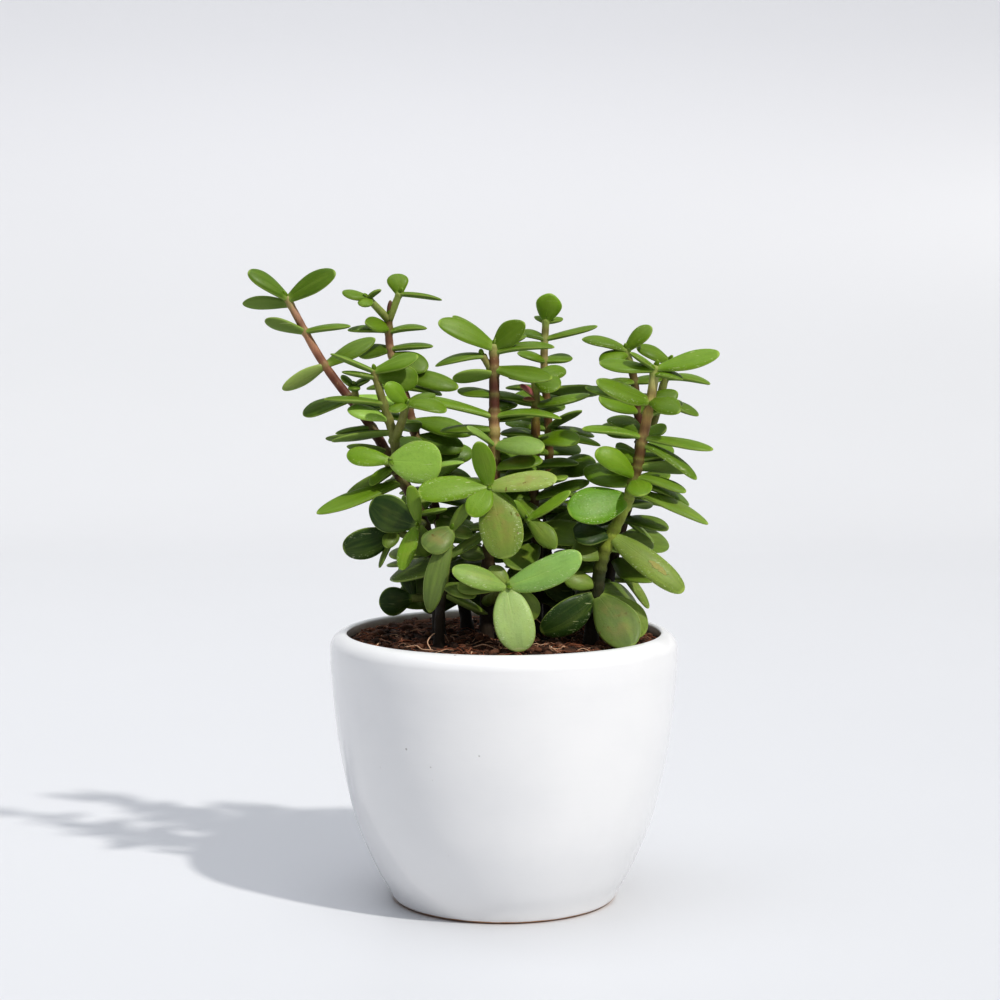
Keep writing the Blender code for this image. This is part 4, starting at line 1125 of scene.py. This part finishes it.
# Red-brown buds that have only just opened: their stem, height, reach, width and colour
BUDS = (("back_left_stem", 184.0, (0.6, -0.8, 6.5), 1.9, (104, 62, 56)),
        ("centre_stem", 160.0, (-5.0, -2.5, 4.0), 2.6, (168, 92, 100)),
        ("centre_stem", 159.0, (-4.0, -4.0, 0.5), 2.2, (140, 84, 72)))
BUD_FACE = 40
UNMARKED = (0.0, 0.0, 0.0)


def light(colour):
    """The linear colour for one that is given as seen."""
    return Vector([(share / 12.92 if share <= 0.04045 else ((share + 0.055) / 1.055) ** 2.4)
                   for share in (step / 255 for step in colour)])


def colour_at(stops, height):
    """The colour at a height, between the stops on either side of it."""
    if height <= stops[0][0]:
        return light(stops[0][1])
    for (low, first), (high, second) in zip(stops[:-1], stops[1:]):
        if height <= high:
            return light(first).lerp(light(second), (height - low) / (high - low))
    return light(stops[-1][1])


class Skin:
    """The points and faces of one stem as they grow, with what its materials read at each point."""

    def __init__(self):
        self.points = []
        self.faces = []
        self.finishes = []
        self.tints = []
        self.spots = []
        self.kinds = []

    def add_point(self, point, spot, tint, kind):
        self.points.append(point)
        self.spots.append(spot)
        self.tints.append(tint)
        self.kinds.append(kind)

    def add_rings(self, rings, sides, finish, tip=False):
        """Faces over the rings of points that were added last, closed at the last ring or at a tip."""
        new = capped(rings, sides, len(self.points) - rings * sides - (1 if tip else 0), tip)
        self.faces += new
        self.finishes += [finish] * len(new)


def fine_shares(widest):
    """Stations along a leaf, close together where the outline turns at the tip."""
    inner = [widest * step / SKIN_INNER_STATIONS for step in range(SKIN_INNER_STATIONS)]
    quarter = [0.5 * math.pi * step / SKIN_OUTER_STATIONS for step in range(SKIN_OUTER_STATIONS)]
    return inner + [widest + (1 - widest) * math.sin(angle) for angle in quarter]


def add_leaf(skin, form, tint, kind, draw, swell=None):
    """A plump leaf: at each station a ring that is flatter above than below, and a rounded tip."""
    length = form.reach.length
    width = form.width
    across, upward, base, reach = leaf_frame(form)
    bow = draw.uniform(*SKIN_BOW) * length
    twist = math.radians(draw.uniform(*SKIN_TWIST))
    cup = draw.uniform(*SKIN_CUP) * min(1.0, width / SKIN_CUPPED_WIDTH)
    droop = draw.uniform(*SKIN_DROOP) * length
    widest = draw.uniform(*SKIN_WIDEST)
    tip = max(draw.uniform(*SKIN_TIP), BROAD_TIP if swell else 0.0)
    own_swell = draw.uniform(*SKIN_SWELL)
    ripple = draw.uniform(*SKIN_RIPPLE_STARTS)
    root = min(SKIN_ROOT_MOST, SKIN_ROOT_WIDTH / width)
    body = SKIN_BODY + SKIN_BODY_GAIN * min(SKIN_BODY_MOST, width / SKIN_BODY_WIDTH)
    for share in fine_shares(widest):
        bend = 4 * share * (1 - share)
        rise = upward * (bend * form.arch * length + droop * share ** 3)
        middle = base + reach * share + rise + across * (bow * bend)
        past = max(0.0, (share - widest) / (1 - widest))
        close = math.sqrt(max(0.0, 1 - past ** SKIN_TIP_CLOSING))
        full = SKIN_ENDS + SKIN_ENDS_GAIN * math.sin(math.pi * min(1.0, share * SKIN_ENDS_REACH))
        half = half_width(share, width, root, widest, swell or own_swell, tip)
        half = max(SKIN_LEAST, half * (1 + SKIN_RIPPLE * math.sin(SKIN_RIPPLE_TURNS * share + ripple)))
        angle = twist * share
        side_way = across * math.cos(angle) + upward * math.sin(angle)
        up_way = upward * math.cos(angle) - across * math.sin(angle)
        for side in range(SKIN_SIDES):
            turn = 2 * math.pi * side / SKIN_SIDES
            off, high = math.cos(turn), math.sin(turn)
            tall = high * (SKIN_UP if high > 0 else SKIN_DOWN)
            lift = cup * (off ** 2 - SKIN_CUP_LEVEL) * min(1.0, share * SKIN_CUP_RISE)
            if high > 0:
                lift -= SKIN_FOLD * math.exp(-(off * width / SKIN_FOLD_WIDTH) ** 2) * (1 - share)
            point = middle + side_way * (off * half) + up_way * ((tall * body * full + lift) * close)
            skin.add_point(point, (share, off, high), tint, kind)
    skin.add_point(base + reach + upward * droop, (1.0, 0.0, 0.0), tint, kind)
    skin.add_rings(SKIN_INNER_STATIONS + SKIN_OUTER_STATIONS, SKIN_SIDES, 1, tip=True)


def shade_on(placed):
    """How far the leaves between this one and the window shade it, up to 1."""
    way = WINDOW_WAY.normalized()
    shade = 0.0
    for other in leaves:
        toward = other.middle - placed.middle
        ahead = toward.dot(way)
        if ahead > SHADE_NEAREST:
            beside = (toward - way * ahead).length
            shade += max(0.0, 1 - beside / SHADE_REACH) * min(1.0, SHADE_FARTHEST / ahead)
    return min(1.0, shade / SHADE_FULL)


def leaf_look(name, placed, draw):
    """The tint of a leaf with its painted shade, then its age and how far it is blushed and scarred, each up
    to 1.
    """
    young = held((placed.form.base.z - OLD_BELOW) / (YOUNG_ABOVE - OLD_BELOW))
    young = held(young + draw.uniform(*YOUNG_SPREAD))
    tint = light(LEAF_OLD).lerp(light(LEAF_GROWN), min(1.0, 2 * young))
    tint = tint.lerp(light(LEAF_YOUNG), max(0.0, 2 * young - 1))
    # Painted shade: a leaf with others between it and the window is darkened toward deep green
    tint = tint.lerp(light(LEAF_PAINTED_SHADE), between(SHADE_DEPTHS, young) * shade_on(placed))
    tint = tint * draw.uniform(*TINT_SPREAD)
    if placed.row in LEAF_TONES[name]:
        tint = light(LEAF_TONES[name][placed.row])
    age = held(1 - young + draw.uniform(*AGE_SPREAD))
    blushed = 1.0 if placed.row in BLUSHED.get(name, ()) else age * draw.uniform(*BLUSH_SPREAD)
    scarred = draw.uniform(*SCAR_SPREAD)
    if placed.row in SCRATCHED.get(name, ()):
        scarred = SCRATCH_SHARE
    if placed.row in SCARRED.get(name, ()):
        scarred = 1.0
    return tint, (age, blushed, scarred)


def even_line(line, spacing):
    """The same line with points at an even spacing."""
    spots = [line[0]]
    carried = 0.0
    for start, end in zip(line[:-1], line[1:]):
        run = (end - start).length
        at = spacing - carried
        while at < run:
            spots.append(start.lerp(end, at / run))
            at += spacing
        carried = (carried + run) % spacing
    if (spots[-1] - line[-1]).length > BARK_LAST_GAP * spacing:
        spots.append(line[-1])
    return spots


def bell(distance, width):
    """1 at no distance, falling away to either side."""
    return math.exp(-(distance / width) ** 2)


def add_stem(skin, shoot, bark, green, joints):
    """A stem or shoot with a swollen ring at each pair of leaves, and a rounded tip."""
    line = even_line(smooth_route(shoot.route, BARK_STEPS), BARK_SPACING)
    in_soil = shoot.route[0][2] == STEM_FOOT
    radii = []
    greens = []
    maroons = []
    for index, spot in enumerate(line):
        gaps = [abs(spot.z - joint.z) + JOINT_ASIDE * (spot - joint).length for joint in joints]
        near = min(gaps or [JOINT_FAR])
        above = min([spot.z - joint.z for joint in joints if spot.z >= joint.z] or [JOINT_FAR])
        swell = RING_SWELL * bell(near, RING_WIDTH)
        groove = GROOVE_DEPTH * bell(near - GROOVE_PLACE, GROOVE_WIDTH)
        wave_place = Vector((spot.z * BARK_WAVE_CLOSENESS, shoot.radii[0] * BARK_WAVE_SHIFT, 0))
        wave = BARK_WAVE * noise.noise(wave_place)
        flare = FLARE * max(0.0, 1 - abs(spot.z - SOIL_LEVEL) / FLARE_HEIGHT) if in_soil else 0.0
        radius = between(shoot.radii, index / (len(line) - 1))
        radii.append(radius * (1 + swell - groove + wave + flare) + BARK_EXTRA)
        fresh = held((spot.z - JOINT_GREEN_FROM) / JOINT_GREEN_RISE)
        greens.append(max(green, JOINT_GREEN * fresh * bell(near, JOINT_GREEN_WIDTH)))
        maroon = bell(above - JOINT_MAROON_PLACE, JOINT_MAROON_WIDTH)
        maroons.append(JOINT_MAROON * fresh * (1 - green) * maroon)
    points = tube_points(line, radii, BARK_SIDES)
    cap = (line[-1] - line[-2]).normalized()
    last = points[-BARK_SIDES:]
    for step, share in BARK_TIP:
        middle = line[-1] + cap * step * shoot.radii[1]
        points += [middle + (point - line[-1]) * share for point in last]
    heights = [spot.z for spot in line] + [line[-1].z] * len(BARK_TIP)
    greens += [greens[-1]] * len(BARK_TIP)
    maroons += [maroons[-1]] * len(BARK_TIP)
    for index, height in enumerate(heights):
        tint = colour_at(bark, height).lerp(light(YOUNG_BARK), greens[index])
        tint = tint.lerp(light(BARK_MAROON), maroons[index])
        age = 1 - held((height - BARK_OLD_BELOW) / BARK_AGEING)
        for point in points[index * BARK_SIDES:(index + 1) * BARK_SIDES]:
            skin.add_point(point, (0.0, 0.0, 0.0), tint, (age, 0.0, 0.0))
    skin.add_rings(len(heights), BARK_SIDES, 0)


wax = Finish("jade_leaf", {"Specular IOR Level": 0.3, "Subsurface Weight": 0.1, "Subsurface Scale": 1.6 * MM,
                           "Subsurface Radius": (0.35, 1.0, 0.1), "Coat Roughness": 0.3})
spot = wax.place()
tint = wax.at_points("tint")
kind = wax.at_points("leaf_kind", "Vector")
age, blushed, scarred = (wax.axis(kind, name) for name in "XYZ")
where = wax.at_points("leaf_spot", "Vector")
share, off, high = (wax.axis(where, name) for name in "XYZ")
aside = abs(off)
under = high.rise(0.15, -0.25)
clouds = wax.mottle(spot, 5.0, 4.0)
fine = wax.mottle(spot, 0.9, 3.0)
glitter = wax.mottle(spot, 0.4, 1.0)
along_leaf = wax.vectors("MULTIPLY", where, (1.5, 2.2, 0.0))
per_leaf = wax.vectors("MULTIPLY", spot, (0.03, 0.03, 0.03))
streaks = wax.mottle(wax.vectors("ADD", along_leaf, per_leaf), 1.0, 3.0)
# The pale rim round each leaf is partly its own paler margin and partly a painted glow
rim = (aside.rise(0.90, 1.0) + share.rise(0.94, 1.0)).rise(0.1, 1.0)
midrib = aside.rise(0.08, 0.01) * share.rise(0.8, 0.2)
dots = wax.cells(spot, 0.8).rise(0.24, 0.10)
root = share.rise(0.18, 0.03)
blush = share.rise(0.15, 0.45) * share.rise(0.95, 0.6) * aside.rise(0.9, 0.2)
blush = blush * clouds.rise(0.36, 0.6) * blushed
cork = (wax.mottle(spot, 2.4, 5.0, 0.62) + blushed * 0.07 + age * 0.04).rise(0.735, 0.775)
cork = cork * blushed.rise(0.3, 0.8)
scar_along = (share - 0.70 + 0.10 * fine) / 0.13
scar_across = (off - 0.30 + 0.45 * fine) / 0.22
scar = (scar_along * scar_along + scar_across * scar_across).rise(1.0, 0.7)
scar = scar * scarred.rise(0.8, 0.95) * (1 - under)
scratch = wax.mottle(wax.place((0.16, 0.5, 1.5)), 1.3, 2.0).rise(0.69, 0.73) * scarred.rise(0.3, 0.7)
scuff = wax.mottle(wax.place((0.6, 1.0, 1.4)), 0.55, 3.0, 0.6).rise(0.59, 0.66) * aside.rise(0.35, 0.85)
scuff = scuff * scarred.rise(0.35, 0.75) * clouds.rise(0.38, 0.52) * (1 - under)
colour = wax.mix(clouds.rise(0.35, 0.75) * 0.35, tint, wax.mix(0.45, tint, light(LEAF_CLOUD)))
for amount, over in ((fine.rise(0.45, 0.8) * 0.1, LEAF_FLECK),
                     (streaks.rise(0.45, 0.70) * (0.08 + 0.1 * age), LEAF_STREAK),
                     (streaks.rise(0.50, 0.28) * (0.08 + 0.14 * age), LEAF_DARK_STREAK),
                     (midrib * 0.06, LEAF_MIDRIB), (dots * 0.16, LEAF_DOT), (blush * 0.34, LEAF_BLUSH),
                     (rim * 0.36, LEAF_EDGE_AND_GLOW), (root * 0.6, LEAF_ROOT), (under * 0.5, LEAF_UNDERSIDE),
                     (cork * 0.75, LEAF_CORK), (scratch * 0.5, LEAF_SCRATCH), (scuff * 0.7, LEAF_SCUFF),
                     (scar * (0.55 + 0.4 * fine), LEAF_SCAR)):
    colour = wax.mix(amount, colour, light(over))
wax.feed("Base Color", colour)
dull = 0.46 + 0.12 * clouds + 0.2 * under + 0.3 * (cork + scar)
wax.feed("Roughness", dull - 0.16 * glitter.rise(0.55, 0.75))
wax.feed("Coat Weight", 0.07 * (1 - under) * (1 - cork) * (1 - scar))
wax.relief(clouds * 0.7 + fine * 0.2 + glitter * 0.07 + dots * 0.12 - midrib * 0.16 - cork * 0.4
           + scar * fine * 0.9, 0.3)

woody = Finish("jade_bark", {"Specular IOR Level": 0.4})
spot = woody.place()
tint = woody.at_points("tint")
age = woody.axis(woody.at_points("leaf_kind", "Vector"), "X")
patches = woody.mottle(spot, 2.6, 4.0)
grain = woody.mottle(woody.place((1.0, 1.0, 0.22)), 0.55, 4.0, 0.6)
cork = (patches + age * 0.28).rise(0.66, 0.84) * age
flecks = woody.cells(woody.place((1.0, 1.0, 0.5)), 1.3).rise(0.22, 0.10)
colour = woody.mix(grain.rise(0.35, 0.7) * 0.35, tint, woody.mix(0.55, tint, light(BARK_GRAIN)))
colour = woody.mix(cork * 0.15, colour, light(BARK_CORK))
colour = woody.mix(flecks * 0.2 * (1 - age), colour, light(BARK_FLECK))
woody.feed("Base Color", colour)
woody.feed("Roughness", 0.44 + 0.2 * patches + 0.25 * cork)
woody.relief(grain * 0.8 + cork * 0.5 + flecks * 0.2, 0.25)

draw = random.Random(LEAF_SEED)
for name, shoots in STEMS.items():
    skin = Skin()
    own = [placed for placed in leaves if placed.node == name]
    for shoot, line in zip(shoots, plain_lines[name]):
        joints = [placed.form.base for placed in own]
        joints = [joint for joint in joints if min((joint - spot).length for spot in line) < JOINT_REACH]
        add_stem(skin, shoot, BARK[name], 0.0 if shoot is shoots[0] else SHOOT_GREEN, joints)
        heading = (line[-1] - line[-2]).normalized()
        for lean, length, width in TIP_LEAVES:
            outward = Vector((TIP_LEAF_ASIDE * lean, 0, 0))
            across = Vector((1, 0, 0)).cross(heading).normalized() * lean + outward
            reach = (heading + TIP_LEAF_LEAN * across).normalized() * length * draw.uniform(*TIP_LEAF_SPREAD)
            form = Form(line[-1], reach, width, draw.uniform(*TIP_LEAF_FACES), SMALL_ARCH)
            add_leaf(skin, form, light(LEAF_YOUNG), UNMARKED, draw)
    for leaf in own:
        tint, kind = leaf_look(name, leaf, draw)
        swell = BROAD_SWELL if leaf.row in BROAD.get(name, ()) else None
        add_leaf(skin, leaf.form, tint, kind, draw, swell)
    for stem, height, reach, width, colour in BUDS:
        if stem == name:
            base = point_on(plain_lines[name][0], height)
            form = Form(base, Vector(reach), width, BUD_FACE, SMALL_ARCH)
            add_leaf(skin, form, light(colour), UNMARKED, draw)
    piece = mesh_piece(name + "_skin", skin.points, skin.faces)
    piece.data.materials.append(woody.material)
    piece.data.materials.append(wax.material)
    piece.data.polygons.foreach_set("material_index", skin.finishes)
    tints = [share for tint in skin.tints for share in (*tint, 1.0)]
    keep_at_points(piece, "tint", "FLOAT_COLOR", "color", tints)
    for label, rows in (("leaf_spot", skin.spots), ("leaf_kind", skin.kinds)):
        keep_at_points(piece, label, "FLOAT_VECTOR", "vector", [share for row in rows for share in row])
    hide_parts(name)
    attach(piece, "root")

size = {"cad": [list(corner) for corner in cad_box], "visual": [list(corner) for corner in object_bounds()]}
